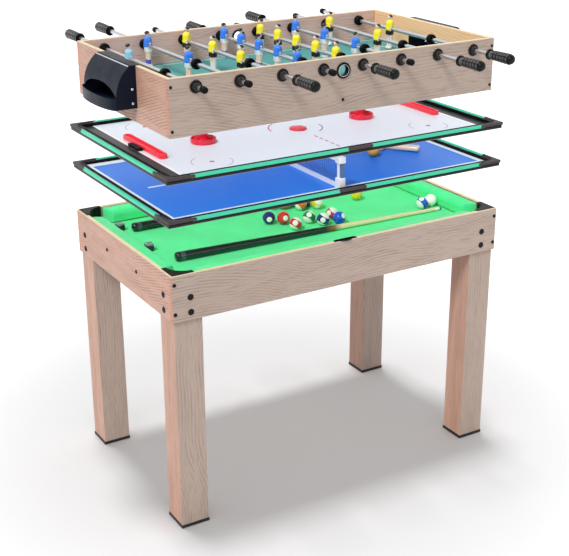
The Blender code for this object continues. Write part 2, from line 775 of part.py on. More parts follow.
def hood_outline(inset):
    """The hood's side view: a flat top and an arc that ends upright above the cup."""
    rise = RETURN_HEIGHT - RETURN_CUP_HEIGHT
    out = RETURN_HOOD_DEPTH - RETURN_TOP_DEPTH
    radius = (rise * rise + out * out) / (2 * out)
    centre = (RETURN_HOOD_DEPTH - radius, RETURN_CUP_HEIGHT)
    end = math.degrees(math.asin(rise / radius))
    start = -OVERRUN if inset else 0
    bottom = RETURN_WALL if inset else RETURN_CUP_HEIGHT / 2
    curve = arc(centre, radius - inset, 0, end, HOOD_STEPS)
    if inset:
        curve = [point for point in curve if point[1] < RETURN_HEIGHT - inset]
        curve.append((RETURN_TOP_DEPTH - inset / 2, RETURN_HEIGHT - inset))
    return [(start, bottom), (curve[0][0], bottom), *curve, (start, curve[-1][1])]


def return_shape(side):
    """A ball return: a hood over the goal mouth, an arched opening and a cup below it."""
    def out(outline):
        return [(side * x, y) for x, y in outline]

    half = RETURN_WIDTH / 2
    cup = prism(out(cup_outline(0)), 0, RETURN_CUP_HEIGHT)
    hood = prism(out(hood_outline(0)), -half, half, "Y")
    shell = combined(hood, cup, "UNION")
    cup_space = prism(out(cup_outline(RETURN_WALL)), RETURN_WALL, RETURN_CUP_HEIGHT + OVERRUN / 2)
    inner = half - RETURN_WALL
    hood_space = prism(out(hood_outline(RETURN_WALL)), -inner, inner, "Y")
    arch = [
        (RETURN_ARCH_WIDTH / 2 * x, RETURN_CUP_HEIGHT - GAP + RETURN_ARCH_HEIGHT * z)
        for x, z in arc((0, 0), 1, 0, 180, ARCH_STEPS)
    ]
    arch_cut = prism(arch, side * RETURN_TOP_DEPTH, side * (RETURN_CUP_DEPTH + OVERRUN), "X")
    shell = combined(shell, hood_space, "DIFFERENCE")
    shell = combined(shell, cup_space, "DIFFERENCE")
    return combined(shell, arch_cut, "DIFFERENCE")


def man_shape():
    """A figure with boots, shorts, shirt and head, hanging on its rod."""
    height = MAN_ABOVE + MAN_BELOW
    rings = []
    for up, wide, deep in MAN_SHARES:
        ring = []
        for k in range(MAN_SIDES):
            angle = 2 * math.pi * (k + 1 / 2) / MAN_SIDES
            x = MAN_DEPTH / 2 * deep * math.cos(angle)
            y = MAN_WIDTH / 2 * wide * math.sin(angle)
            ring.append((x, y, up * height - MAN_BELOW))
        rings.append(ring)
    return loft(rings)


def cap_shape(end, side):
    """A rounded cap over the end of a rod."""
    return lathe((
        (end - side * CAP_LENGTH, CAP_RADIUS),
        (end - side * CAP_RADIUS / 2, CAP_RADIUS),
        (end, CAP_RADIUS / 2),
    ))


def rod_shape(index):
    """A rod with its figures, the bumper at its back and the cap on its free end."""
    grip_side = GRIP_SIDES[index]
    low, high = front_end(index), back_end(index)
    inserted = grip_start(index) + GRIP_SOCKET - GAP
    if grip_side > 0:
        free, bar = low, (low + CAP_LENGTH / 2, inserted)
    else:
        free, bar = high, (-inserted, high - CAP_LENGTH / 2)
    rod = lathe(((bar[0], ROD_RADIUS), (bar[1], ROD_RADIUS)))
    back = INNER_HALF_WIDTH - WALL_REST
    soft = BUMPER_LENGTH / 4
    bumper = lathe((
        (back - BUMPER_LENGTH, BUMPER_RADIUS * 5 / 6),
        (back - BUMPER_LENGTH + soft, BUMPER_RADIUS),
        (back - soft, BUMPER_RADIUS),
        (back, BUMPER_RADIUS * 5 / 6),
    ))
    men = [moved(man_shape(), (0, y, 0)) for y in figure_places(index)]
    fittings = merged([bumper, cap_shape(free, -grip_side), *men])
    return combined(rod, fittings, "UNION")


def ring_shape():
    """A loose rubber ring, bored to slide on its rod."""
    half = RING_LENGTH / 2
    body = lathe(((-half, BUMPER_RADIUS * 9 / 10), (0, BUMPER_RADIUS), (half, BUMPER_RADIUS * 9 / 10)))
    bore = lathe(((-half - OVERRUN, BORE_RADIUS), (half + OVERRUN, BORE_RADIUS)))
    return combined(body, bore, "DIFFERENCE")


def grip_shape(index):
    """A ribbed grip with a round collar and a socket that the end of its rod goes into."""
    side = GRIP_SIDES[index]
    start = side * grip_start(index)
    collar = side * GRIP_LENGTH * GRIP_SHARES[0][0]
    profile = [
        (start, GRIP_COLLAR_RADIUS * 9 / 10),
        (start + collar / 3, GRIP_COLLAR_RADIUS),
        (start + collar * 3 / 4, GRIP_COLLAR_RADIUS * 24 / 25),
    ]
    for along, radius in GRIP_SHARES:
        profile.append((start + side * along * GRIP_LENGTH, radius * GRIP_RADIUS))
    socket = lathe(((start - side * OVERRUN, BORE_RADIUS), (start + side * GRIP_SOCKET, BORE_RADIUS)))
    return combined(lathe(profile), socket, "DIFFERENCE")


def build_football(layer, finishes):
    """Panels, pitch and ball returns of the table football box."""
    wood = finishes["oak"]
    piece("box_panel_front", long_panel_shape(-1), wood, layer)
    piece("box_panel_back", long_panel_shape(1), wood, layer)
    piece("box_panel_left", end_panel_shape(-1), wood, layer)
    piece("box_panel_right", end_panel_shape(1), wood, layer)
    pitch_top = PITCH_TOP - BOX_BOTTOM
    low = (GAP - INNER_HALF_LENGTH, GAP - INNER_HALF_WIDTH, pitch_top - PITCH_THICKNESS)
    high = (INNER_HALF_LENGTH - GAP, INNER_HALF_WIDTH - GAP, pitch_top)
    piece("football_pitch", cuboid(low, high), finishes["pitch_green"], layer)
    for name, side in (("ball_return_left", -1), ("ball_return_right", 1)):
        place = (side * (BOX_HALF_LENGTH + GAP), 0, BOX_HEIGHT - RETURN_HEIGHT)
        piece(name, return_shape(side), finishes["black_plastic"], layer, place)


def build_rods(layer, finishes):
    """Eight rods, each on its own axis, with a grip and a loose ring."""
    for index in range(ROD_COUNT):
        number = index + 1
        axis = empty(f"rod_axis_{number}", layer, (rod_x(index), 0, BOX_HEIGHT - ROD_BELOW_RIM))
        piece(f"rod_{number}", rod_shape(index), finishes["steel"], axis, smooth=True)
        piece(f"grip_{number}", grip_shape(index), finishes["black_plastic"], axis, smooth=True)
        place = (0, ring_place(index), 0)
        piece(f"bumper_{number}", ring_shape(), finishes["rubber"], axis, place, smooth=True)


def main():
    """Build the whole table."""
    clear_scene()
    finishes = {
        "oak": material("oak", (0.56, 0.43, 0.33), 0.6),
        "green_cloth": material("green_cloth", (0.10, 0.70, 0.24), 0.9),
        "black_plastic": material("black_plastic", (0.02, 0.02, 0.025), 0.4),
        "cue_wood": material("cue_wood", (0.80, 0.66, 0.42), 0.4),
        "ball": material("ball", (0.75, 0.12, 0.06), 0.2),
        "blue_board": material("blue_board", (0.03, 0.15, 0.62), 0.5),
        "white_board": material("white_board", (0.78, 0.82, 0.92), 0.4),
        "mint_rail": material("mint_rail", (0.06, 0.52, 0.32), 0.6),
        "white_plastic": material("white_plastic", (0.85, 0.85, 0.85), 0.4),
        "red_plastic": material("red_plastic", (0.80, 0.03, 0.05), 0.35),
        "pitch_green": material("pitch_green", (0.10, 0.36, 0.30), 0.6),
        "steel": material("steel", (0.75, 0.75, 0.76), 0.2, 1.0),
        "rubber": material("rubber", (0.02, 0.02, 0.02), 0.7),
    }
    frame = empty("table_centre", None, (0, TABLE_Y, 0))
    tennis = empty("tennis_layer", frame, (0, 0, TENNIS_BOTTOM))
    hockey = empty("hockey_layer", frame, (0, 0, HOCKEY_BOTTOM))
    football = empty("football_layer", frame, (0, 0, BOX_BOTTOM))
    build_base(frame, finishes)
    build_pool_things(frame, finishes)
    build_tennis(tennis, finishes)
    build_hockey(hockey, finishes)
    build_football(football, finishes)
    build_rods(football, finishes)
    bpy.context.view_layer.update()


main()
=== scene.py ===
"""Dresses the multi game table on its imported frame.

A pool table base stands on the floor. A tennis layer, a hockey layer and a table football box hang
above it, one over the other. Lengths are metres, +Z is up and the front of the table looks to -Y.
Shapes are measured from the middle of the table, and piece() moves them to their place.
"""

import json
import logging
import math
from collections.abc import Callable
from dataclasses import dataclass, field, replace
from enum import Enum
from functools import cache

import bmesh
import bpy
import numpy as np
from mathutils import Matrix, Vector

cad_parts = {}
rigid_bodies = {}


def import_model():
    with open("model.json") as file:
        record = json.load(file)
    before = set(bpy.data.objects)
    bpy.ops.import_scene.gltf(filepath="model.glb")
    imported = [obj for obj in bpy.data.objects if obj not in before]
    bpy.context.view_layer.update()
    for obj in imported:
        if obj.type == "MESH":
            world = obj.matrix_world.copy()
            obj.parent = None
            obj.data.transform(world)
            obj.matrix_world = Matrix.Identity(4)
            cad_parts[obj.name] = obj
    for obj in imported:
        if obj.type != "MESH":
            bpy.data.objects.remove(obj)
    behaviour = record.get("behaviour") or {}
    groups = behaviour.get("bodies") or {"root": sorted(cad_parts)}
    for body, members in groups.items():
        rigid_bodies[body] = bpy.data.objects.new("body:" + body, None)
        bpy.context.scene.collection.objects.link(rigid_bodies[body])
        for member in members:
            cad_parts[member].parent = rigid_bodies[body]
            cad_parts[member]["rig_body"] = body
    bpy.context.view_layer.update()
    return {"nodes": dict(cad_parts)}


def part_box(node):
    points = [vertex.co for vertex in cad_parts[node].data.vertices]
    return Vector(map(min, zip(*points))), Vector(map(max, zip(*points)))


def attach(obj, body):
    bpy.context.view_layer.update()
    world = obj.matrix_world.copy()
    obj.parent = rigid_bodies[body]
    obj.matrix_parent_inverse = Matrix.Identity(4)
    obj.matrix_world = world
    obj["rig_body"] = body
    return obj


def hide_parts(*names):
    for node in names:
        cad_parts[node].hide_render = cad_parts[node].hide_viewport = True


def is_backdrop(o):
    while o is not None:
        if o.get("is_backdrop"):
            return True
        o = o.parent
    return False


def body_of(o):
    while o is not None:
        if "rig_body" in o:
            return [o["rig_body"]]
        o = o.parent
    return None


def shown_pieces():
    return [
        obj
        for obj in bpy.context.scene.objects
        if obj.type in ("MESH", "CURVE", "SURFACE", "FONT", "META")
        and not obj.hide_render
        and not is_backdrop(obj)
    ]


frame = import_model()
LOG = logging.getLogger("game_table")
Array = np.ndarray
Colour = tuple[float, float, float]
TABLE_Y = float(np.mean([corner[1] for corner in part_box("pool_bed")]))
# Thickness of the panels, the gap that keeps pieces apart and the least step between faces
PANEL, GAP, HAIR = 0.012, 0.0003, 0.00005
# Where printed lines start and end above their board
PRINT = (0.0001, 0.0004)


def rgb(red: int, green: int, blue: int) -> Colour:
    """Linear colour of an 8-bit screen colour: each channel through the sRGB curve."""
    shares = (red / 255, green / 255, blue / 255)
    return tuple(s / 12.92 if s <= 0.04045 else ((s + 0.055) / 1.055) ** 2.4 for s in shares)


def dimmed(colour: Colour, share: float) -> Colour:
    """A colour with each channel multiplied by a share."""
    return tuple(channel * share for channel in colour)


def corners(node: str) -> tuple[Array, Array]:
    """Lowest and highest corner of a frame node, measured from the middle of the table."""
    low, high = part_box(node)
    return np.array(low) - (0, TABLE_Y, 0), np.array(high) - (0, TABLE_Y, 0)


# Shapes as arrays
@dataclass
class Shape:
    """A mesh as arrays.

    points holds one row for each point, faces one array for each number of corners, and values
    one array of rows for each named point attribute.
    """

    points: Array
    faces: list[Array]
    values: dict[str, Array] = field(default_factory=dict)

    def moved(self, x: float, y: float, z: float) -> "Shape":
        """The shape with an offset added to every point."""
        return replace(self, points=self.points + (x, y, z))

    def turned(self, axis: str, degrees: float) -> "Shape":
        """The shape turned about an axis through the origin by an angle."""
        matrix = np.array(Matrix.Rotation(math.radians(degrees), 3, axis))
        return replace(self, points=self.points @ matrix.T)

    def scaled(self, x: float, y: float, z: float) -> "Shape":
        """The shape with every point multiplied by three factors."""
        return replace(self, points=self.points * (x, y, z))

    def with_value(self, name: str, value: Array | tuple[float, ...]) -> "Shape":
        """The shape with one point attribute set: one row for all points, or a row for each."""
        rows = np.broadcast_to(np.asarray(value, float), (len(self.points), len(np.atleast_2d(value)[0])))
        return replace(self, values={**self.values, name: rows})

    def tinted(self, colour: Colour) -> "Shape":
        """The shape with one colour as its tint."""
        return self.with_value("tint", (*colour, 1.0))


def joined(shapes: list[Shape]) -> Shape:
    """Several shapes in one, each still closed in itself."""
    starts = np.cumsum([0] + [len(shape.points) for shape in shapes])
    faces = [rows + start for shape, start in zip(shapes, starts) for rows in shape.faces]
    values = {name: np.concatenate([shape.values[name] for shape in shapes]) for name in shapes[0].values}
    return Shape(np.concatenate([shape.points for shape in shapes]), faces, values)


def grid(along: Array, across: Array, beyond: Array, axis: str = "X") -> Array:
    """Points whose coordinates on an axis and on the two that follow it are three arrays, spread to one size."""
    return np.roll(np.stack(np.broadcast_arrays(along, across, beyond), -1), "XYZ".index(axis), -1)


def loft(rings: Array, closed: bool = False) -> Shape:
    """Joins rings of points into a skin.

    The skin is the grid of rings by points, with a flat face over the first and the last ring.

    Args:
        rings: points as rings x points x 3.
        closed: joins the last ring to the first instead of closing both ends.

    Returns:
        The closed shape.
    """
    count, around, _ = rings.shape
    rows = np.arange(count if closed else count - 1)[:, None]
    columns = np.arange(around)[None, :]
    row, after = rows * around, (rows + 1) % count * around
    following = (columns + 1) % around
    faces = [np.stack((row + columns, row + following, after + following, after + columns), -1).reshape(-1, 4)]
    if not closed:
        faces += [np.arange(around)[None, ::-1], np.arange((count - 1) * around, count * around)[None, :]]
    return Shape(rings.reshape(-1, 3).astype(float), faces)


def lathe(profile: list[tuple[float, float]], axis: str = "Y", sides: int = 32, closed: bool = False) -> Shape:
    """Turns a profile round an axis.

    A point lies at station along the axis, and at radius x (cos a, sin a) across it.

    Args:
        profile: stations and radii in order.
        axis: the axis's letter.
        sides: points round the axis.
        closed: the profile is a loop, as a ring's is.

    Returns:
        The turned shape.
    """
    station, radius = np.asarray(profile, float).T[:, :, None]
    angle = np.linspace(0, 2 * np.pi, sides, endpoint=False)
    return loft(grid(station, radius * np.cos(angle), radius * np.sin(angle), axis), closed)


def softened(profile: list[tuple[float, float]], rounds: int = 2, closed: bool = False) -> list:
    """Cuts a profile's corners: each round puts points at a quarter and three quarters of each side."""
    line = np.asarray(profile, float)
    for _ in range(rounds):
        after = np.roll(line, -1, axis=0) if closed else line[1:]
        before = line if closed else line[:-1]
        cut = np.stack((0.75 * before + 0.25 * after, 0.25 * before + 0.75 * after), axis=1).reshape(-1, 2)
        line = cut if closed else np.vstack((line[:1], cut, line[-1:]))
    return line.tolist()


def stacked(levels: list[tuple[Array, float]], axis: str = "Z") -> Shape:
    """Joins flat outlines that lie at heights along an axis, each across it in the order XY, YZ or ZX."""
    return loft(np.array([grid(height, *outline.T, axis) for outline, height in levels]))


def prism(outline: Array, low: float, high: float, edge: float = 0.0, axis: str = "Z") -> Shape:
    """Extrudes a flat outline, with a small step in at both ends where it has an edge.

    Args:
        outline: points x 2, going anticlockwise.
        low: start along the axis.
        high: end along the axis.
        edge: how far the end faces draw in.
        axis: the axis's letter.

    Returns:
        The prism.
    """
    outline = np.asarray(outline, float)
    if not edge:
        return stacked([(outline, low), (outline, high)], axis)
    ends = inward(outline, edge)
    return stacked([(ends, low), (outline, low + edge), (outline, high - edge), (ends, high)], axis)


def inward(outline: Array, distance: float) -> Array:
    """An anticlockwise outline drawn in: each point moves along the mean of its two sides' normals."""
    sides = (outline - np.roll(outline, 1, axis=0), np.roll(outline, -1, axis=0) - outline)
    normals = [np.stack((-side[:, 1], side[:, 0]), 1) / np.linalg.norm(side, axis=1)[:, None] for side in sides]
    mean = normals[0] + normals[1]
    return outline + distance * 2 * mean / np.maximum((mean ** 2).sum(1), 0.5)[:, None]


def block(low: tuple, high: tuple, edge: float = 0.0008) -> Shape:
    """A box between two corners with its edges eased."""
    (x0, y0, z0), (x1, y1, z1) = low, high
    return prism(rounded_box(x0, y0, x1, y1, edge, 2), z0, z1, edge)


def rectangle(x0: float, y0: float, x1: float, y1: float) -> Array:
    """The four corners of a rectangle, anticlockwise."""
    return np.array(((x0, y0), (x1, y0), (x1, y1), (x0, y1)))


def drawn_in(corners_of: Array, by: float | tuple[float, float]) -> Array:
    """A rectangle whose corners move towards its middle by a distance on each axis."""
    return corners_of - np.sign(corners_of - corners_of.mean(0)) * by


def rounded_box(x0: float, y0: float, x1: float, y1: float, radius: float, steps: int) -> Array:
    """Outline of a rectangle whose corners are arcs of a radius, anticlockwise."""
    centres = rectangle(x0 + radius, y0 + radius, x1 - radius, y1 - radius)[[2, 3, 0, 1]]
    return np.vstack([arc(centre, radius, 90 * k, 90 * k + 90, steps) for k, centre in enumerate(centres)])


def arc(centre: tuple, radius: float, start: float, end: float, steps: int) -> Array:
    """Points at centre + radius x (cos a, sin a) between two angles in degrees."""
    angle = np.radians(np.linspace(start, end, steps + 1))
    return np.stack((centre[0] + radius * np.cos(angle), centre[1] + radius * np.sin(angle)), 1)


def band(inner: Array, outer: Array, low: float, high: float, closed: bool = True) -> Shape:
    """A flat strip between two outlines of equal counts, closed all round or with two ends.

    The rings run low outer, low inner, high inner, high outer at each point of the outlines.
    """
    edges = [grid(height, *line.T, "Z") for line, height in ((outer, low), (inner, low), (inner, high), (outer, high))]
    return loft(np.stack(edges, axis=1), closed)


def arc_band(centre: tuple, radius: float, width: float, low: float, high: float,
             start: float = 0.0, end: float = 360.0) -> Shape:
    """A flat strip of a width along an arc, or round a whole circle when it spans 360 degrees."""
    steps, whole = max(8, int((end - start) / 6)), end - start >= 360
    lines = [arc(centre, radius + side * width / 2, start, end, steps) for side in (-1, 1)]
    return band(*(line[:-1] if whole else line for line in lines), low, high, whole)


def blob(radii: tuple, centre: tuple, sides: int, rings: int) -> Shape:
    """An ellipsoid: radii x (cos a cos b, sin a cos b, sin b) round its centre, with small flat poles."""
    rise = np.radians(np.linspace(-84, 84, rings))[:, None]
    turn = np.linspace(0, 2 * np.pi, sides, endpoint=False)[None, :]
    return loft(grid(np.cos(turn) * np.cos(rise), np.sin(turn) * np.cos(rise), np.sin(rise)) * radii + centre)


def swelled(wave: Array, power: float) -> Array:
    """A sine or cosine drawn to a superellipse: its sign x its size to a power."""
    return np.sign(wave) * np.abs(wave) ** power


def limb(stations: list[tuple], sides: int, power: float = 2.4) -> Shape:
    """A body form as a stack of superellipses.

    Each station is (x, y, z, half depth, half width). A point lies at the station's centre plus
    half size x sign(cos a) |cos a|^(2/power), and the same with the sine.
    """
    x, y, z, deep, wide = np.asarray(stations, float).T[:, :, None]
    angle = np.linspace(0, 2 * np.pi, sides, endpoint=False)
    return loft(grid(x + deep * swelled(np.cos(angle), 2 / power), y + wide * swelled(np.sin(angle), 2 / power), z))


def bolt(radius: float, head: float) -> Shape:
    """A round bolt head on -Y with a hexagon recess: a turned dome, its middle sunk to six corners."""
    angle = np.linspace(0, 2 * np.pi, 24, endpoint=False)
    hexagon = np.cos(np.pi / 6) / np.cos((angle % (np.pi / 3)) - np.pi / 6)
    dome = ((0.0, 1.0), (-0.45, 1.0), (-0.85, 0.86), (-1.0, 0.66))
    recess = ((-1.0, 0.5), (-0.35, 0.46), (-0.3, 0.05))
    sizes = [(depth, share * radius * np.ones(24)) for depth, share in dome]
    sizes += [(depth, share * radius * hexagon) for depth, share in recess]
    rings = [grid(depth * head, size * np.sin(angle), size * np.cos(angle), "Y") for depth, size in sizes]
    return loft(np.array(rings))


# Node trees
class Graph:
    """Adds nodes to one node tree and joins their sockets."""

    def __init__(self, tree: bpy.types.NodeTree) -> None:
        """Keeps the tree."""
        self.tree = tree

    def put(self, socket: bpy.types.NodeSocket, value: object) -> None:
        """Links a signal to a socket, or sets a plain value; a colour gets full alpha."""
        if isinstance(value, Signal):
            self.tree.links.new(value.socket, socket)
        else:
            socket.default_value = (*value, 1.0) if socket.type == "RGBA" else value

    def new(self, kind: str, inputs: dict | None = None, **settings: object) -> bpy.types.Node:
        """Makes a node of a kind with its settings and inputs."""
        node = self.tree.nodes.new(kind)
        for name, value in settings.items():
            setattr(node, name, value)
        for name, value in (inputs or {}).items():
            self.put(node.inputs[name], value)
        return node

    def add(self, kind: str, inputs: dict | None = None, out: int | str = 0, **settings: object) -> "Signal":
        """Makes a node and gives one of its outputs."""
        return Signal(self, self.new(kind, inputs, **settings).outputs[out])

    def math(self, operation: str, *values: object, clamp: bool = False) -> "Signal":
        """One arithmetic step on values or signals."""
        return self.add("ShaderNodeMath", dict(enumerate(values)), operation=operation, use_clamp=clamp)

    def span(self, value: object, low: float, high: float, first: float = 0.0, last: float = 1.0) -> "Signal":
        """A smooth step of value from low to high, put out between first and last."""
        inputs = {"Value": value, "From Min": low, "From Max": high, "To Min": first, "To Max": last}
        return self.add("ShaderNodeMapRange", inputs, interpolation_type="SMOOTHSTEP")

    def mix(self, share: object, first: object, second: object, blend: str = "MIX") -> "Signal":
        """A mix of two colours by a share."""
        return self.add("ShaderNodeMix", {0: share, 6: first, 7: second}, 2, data_type="RGBA", blend_type=blend)

    def noise(self, place: object, cells: object, detail: float = 2.0, roughness: float = 0.5) -> "Signal":
        """Noise from 0 to 1 with a number of cells a metre, or with one number for each axis."""
        if isinstance(cells, tuple):
            place = self.add("ShaderNodeVectorMath", {0: place, 1: cells}, operation="MULTIPLY")
            cells = 1.0
        inputs = {"Vector": place, "Scale": cells, "Detail": detail, "Roughness": roughness}
        return self.add("ShaderNodeTexNoise", inputs, "Fac")

    def split(self, vector: object) -> tuple:
        """The three numbers of a vector."""
        return tuple(Signal(self, out) for out in self.new("ShaderNodeSeparateXYZ", {"Vector": vector}).outputs)

    def bump(self, height: object, distance: float, strength: float = 1.0) -> "Signal":
        """A normal from a height of 0 to 1 over a distance."""
        return self.add("ShaderNodeBump", {"Height": height, "Distance": distance, "Strength": strength})

    def effect(self, fill: Callable, place: object, **numbers: float) -> tuple:
        """Places the node group of an effect and gives its outputs in order."""
        tree = group_tree(fill, tuple(numbers))
        node = self.new("ShaderNodeGroup", {}, node_tree=tree)
        for name, value in {"Place": place, **numbers}.items():
            self.put(node.inputs[name], value)
        return tuple(Signal(self, out) for out in node.outputs)

    def marks(self, place: object, grain: float = 1800.0) -> tuple:
        """The smudges and the fine texture of handled surfaces."""
        return self.effect(handling, place, Grain=grain)

    def place(self) -> "Signal":
        """Object coordinates."""
        return self.add("ShaderNodeTexCoord", out="Object")

    def facing(self) -> tuple:
        """The three numbers of the surface's normal."""
        return self.split(self.add("ShaderNodeNewGeometry", out="Normal"))

    def reading(self, name: str, out: str = "Color") -> "Signal":
        """A point attribute of the mesh."""
        return self.add("ShaderNodeAttribute", out=out, attribute_name=name)


@dataclass
class Signal:
    """An output socket; arithmetic on it makes math nodes in its graph."""

    graph: Graph
    socket: bpy.types.NodeSocket

    def __add__(self, other: object) -> "Signal":
        """The sum."""
        return self.graph.math("ADD", self, other)

    def __sub__(self, other: object) -> "Signal":
        """The difference."""
        return self.graph.math("SUBTRACT", self, other)

    def __rsub__(self, other: object) -> "Signal":
        """The difference from a number."""
        return self.graph.math("SUBTRACT", other, self)

    def __mul__(self, other: object) -> "Signal":
        """The product."""
        return self.graph.math("MULTIPLY", self, other)

    def __truediv__(self, other: object) -> "Signal":
        """The quotient."""
        return self.graph.math("DIVIDE", self, other)

    def __pow__(self, other: object) -> "Signal":
        """The power."""
        return self.graph.math("POWER", self, other)

    def __abs__(self) -> "Signal":
        """The size without its sign."""
        return self.graph.math("ABSOLUTE", self)

    def __lt__(self, other: object) -> "Signal":
        """1 where it is less."""
        return self.graph.math("LESS_THAN", self, other)

    def __gt__(self, other: object) -> "Signal":
        """1 where it is greater."""
        return self.graph.math("GREATER_THAN", self, other)

    def sine(self) -> "Signal":
        """The sine of as many whole turns, drawn to run from 0 to 1."""
        return self.graph.math("SINE", self * (2 * math.pi)) * 0.5 + 0.5


@cache
def group_tree(fill: Callable, numbers: tuple[str, ...]) -> bpy.types.NodeTree:
    """The node group of an effect.

    Args:
        fill: takes the group's graph, a place and the numbers, and gives its outputs by name.
        numbers: the names of its inputs besides the place.

    Returns:
        The group, made on its first use.
    """
    tree = bpy.data.node_groups.new(fill.__name__, "ShaderNodeTree")
    for name in ("Place", *numbers):
        kind = "NodeSocketVector" if name == "Place" else "NodeSocketFloat"
        tree.interface.new_socket(name, in_out="INPUT", socket_type=kind)
    graph = Graph(tree)
    start = graph.new("NodeGroupInput")
    results = fill(graph, *(Signal(graph, start.outputs[name]) for name in ("Place", *numbers)))
    for name in results:
        tree.interface.new_socket(name, in_out="OUTPUT", socket_type="NodeSocketFloat")
    graph.new("NodeGroupOutput", results)
    return tree


def oak_grain(graph: Graph, place: Signal) -> dict[str, Signal]:
    """Open oak figure in metres, with the grain along X of its place and the board across Y.

    The distance from a wandering heart line, plus slow and quick waves, over the lines' spacing gives
    the growth lines. Fine long noise gives the pores, and broad noise the tone of the board.
    """
    heart_size, spacing = 0.03, 0.0088
    _, across, _ = graph.split(place)
    wander = graph.noise(place, (1.6, 0.6, 0.6), 1)
    slow = graph.noise(place, (2.6, 9.0, 9.0), 1)
    quick = graph.noise(place, (9.0, 70.0, 70.0), 1)
    from_heart = across - (wander * 0.30 - 0.15)
    spread = (slow * 1.6 + 0.2) * heart_size
    radius = graph.math("SQRT", abs(from_heart) ** 2.0 + spread ** 2.0)
    ridge = ((radius + (slow * 0.014 - 0.007) + (quick * 0.0034 - 0.0017)) / spacing).sine()
    strength = graph.span(graph.noise(place, (6.0, 34.0, 34.0)), 0.38, 0.66, 0.1, 1.0)
    return {
        "Line": ridge ** 2.8 * strength,
        "Pore": graph.span(graph.noise(place, (22.0, 520.0, 520.0)), 0.52, 0.72),
        "Tone": graph.span(graph.noise(place, (1.1, 7.0, 7.0)), 0.3, 0.7),
    }


def cloth_weave(graph: Graph, place: Signal) -> dict[str, Signal]:
    """Plain weave: two sets of rounded threads, at sine waves of the pitch along X and Y, plus fuzz."""
    pitch = 0.0009
    x, y, z = graph.split(place)
    first, second = (((number + z) / pitch).sine() * 0.5 for number in (x, y))
    fuzz = graph.noise(place, 900.0)
    return {"Height": first + second + fuzz * 0.5, "Shade": fuzz * 0.5 + graph.noise(place, 9.0, 3.0) * 0.5}


def handling(graph: Graph, place: Signal, grain: Signal) -> dict[str, Signal]:
    """Light handling marks: broad cloudy smudges, and a fine texture as moulded parts have."""
    smudge = graph.span(graph.noise(place, 22.0, 4.0, 0.6), 0.35, 0.75)
    return {"Smudge": smudge, "Texture": graph.noise(place, grain, 1.0)}


# Finishes
class Grain(Enum):
    """Which way the grain of a board runs."""

    ALONG_X = "x"
    ALONG_Y = "y"
    ALONG_Z = "z"


@dataclass(frozen=True)
class Finish:
    """A finish of the table: its name and the record's slot that it belongs to."""

    name: str
    slot: str

    def paint(self, graph: Graph) -> dict[str, object]:
        """What each socket of the Principled shader takes."""
        raise NotImplementedError


@cache
def material_of(finish: Finish) -> bpy.types.Material:
    """The material of a finish, made on its first use."""
    made = bpy.data.materials.new(finish.name)
    made.use_nodes = True
    graph = Graph(made.node_tree)
    for socket, value in finish.paint(graph).items():
        graph.put(made.node_tree.nodes["Principled BSDF"].inputs[socket], value)
    return made


OAK_LIGHT = rgb(190, 169, 156)
OAK_DARK = rgb(128, 104, 90)
# What the foil's colour is multiplied by on end faces (a painted light tint), on cut edges of long boards and on their
# inner faces (painted light that brightens them)
PAINTED_SIDE_LIGHT_TINT, CUT_EDGE, PAINTED_INNER_LIGHT = (1.1, 0.83, 0.74), (1.12, 0.70, 0.54), (1.5, 1.32, 1.40)
FOOT_CAP = 0.0092


@dataclass(frozen=True)
class Oak(Finish):
    """Oak-look foil: boards carry cream edge banding on top, and legs, whose grain stands, a black foot cap."""

    grain: Grain
    cream_inside: bool = False
    black_outside: tuple[float, float] | None = None

    def paint(self, graph: Graph) -> dict[str, object]:
        """Grain lines darken the light colour and pores darken it more; masks lay the other colours over it."""
        place = graph.place()
        x, y, z = graph.split(place)
        nx, ny, nz = graph.facing()
        long_board = self.grain is Grain.ALONG_X
        run = {Grain.ALONG_X: "xzy", Grain.ALONG_Y: "yzx"}.get(self.grain)
        parts = [{"x": x, "y": y, "z": z}[letter] for letter in run] if run else [z, x + y * 1.7, x + y]
        board = graph.add("ShaderNodeCombineXYZ", dict(enumerate(parts)))
        line, pore, tone = graph.effect(oak_grain, board)
        side = graph.span(abs(nx), 0.4, 0.6)
        base = graph.mix(tone * 0.5, OAK_LIGHT, dimmed(OAK_LIGHT, 0.84))
        lined = graph.mix(line * (side * 0.24 + 0.42), base, OAK_DARK)
        pored = graph.mix(pore * 0.42, lined, dimmed(OAK_DARK, 0.8))
        # Faces looking along X: long boards take their cut edges' tone, other boards and legs a painted light tint
        colour = graph.mix(side, pored, CUT_EDGE if long_board else PAINTED_SIDE_LIGHT_TINT, "MULTIPLY")
        smudge, _ = graph.marks(place)
        height = line * -0.6 + pore * -0.4
        if long_board:
            # Inner faces of long boards are brightened: painted light
            colour = graph.mix(y * ny < -0.1, colour, PAINTED_INNER_LIGHT, "MULTIPLY")
        if self.grain is Grain.ALONG_Z:
            cap = z < FOOT_CAP
            colour = graph.mix(cap, colour, rgb(26, 26, 28))
            height = height * (1.0 - cap)
        else:
            cream = graph.mix(tone * 0.35, rgb(240, 222, 184), rgb(218, 190, 144))
            colour = graph.mix(graph.span(nz, 0.55, 0.8), colour, cream)
        if self.cream_inside:
            warm = graph.mix(line * 0.4 + 0.1, rgb(250, 206, 160), rgb(206, 150, 100))
            colour = graph.mix(x * nx < -0.2, colour, warm)
        if self.black_outside:
            low, high = self.black_outside
            colour = graph.mix(graph.math("ADD", y < low, y > high, clamp=True), colour, rgb(20, 20, 22))
        roughness = line * 0.1 + (smudge * 0.1 + 0.42)
        return {"Base Color": colour, "Roughness": roughness, "Normal": graph.bump(height, 0.0004, 0.6)}


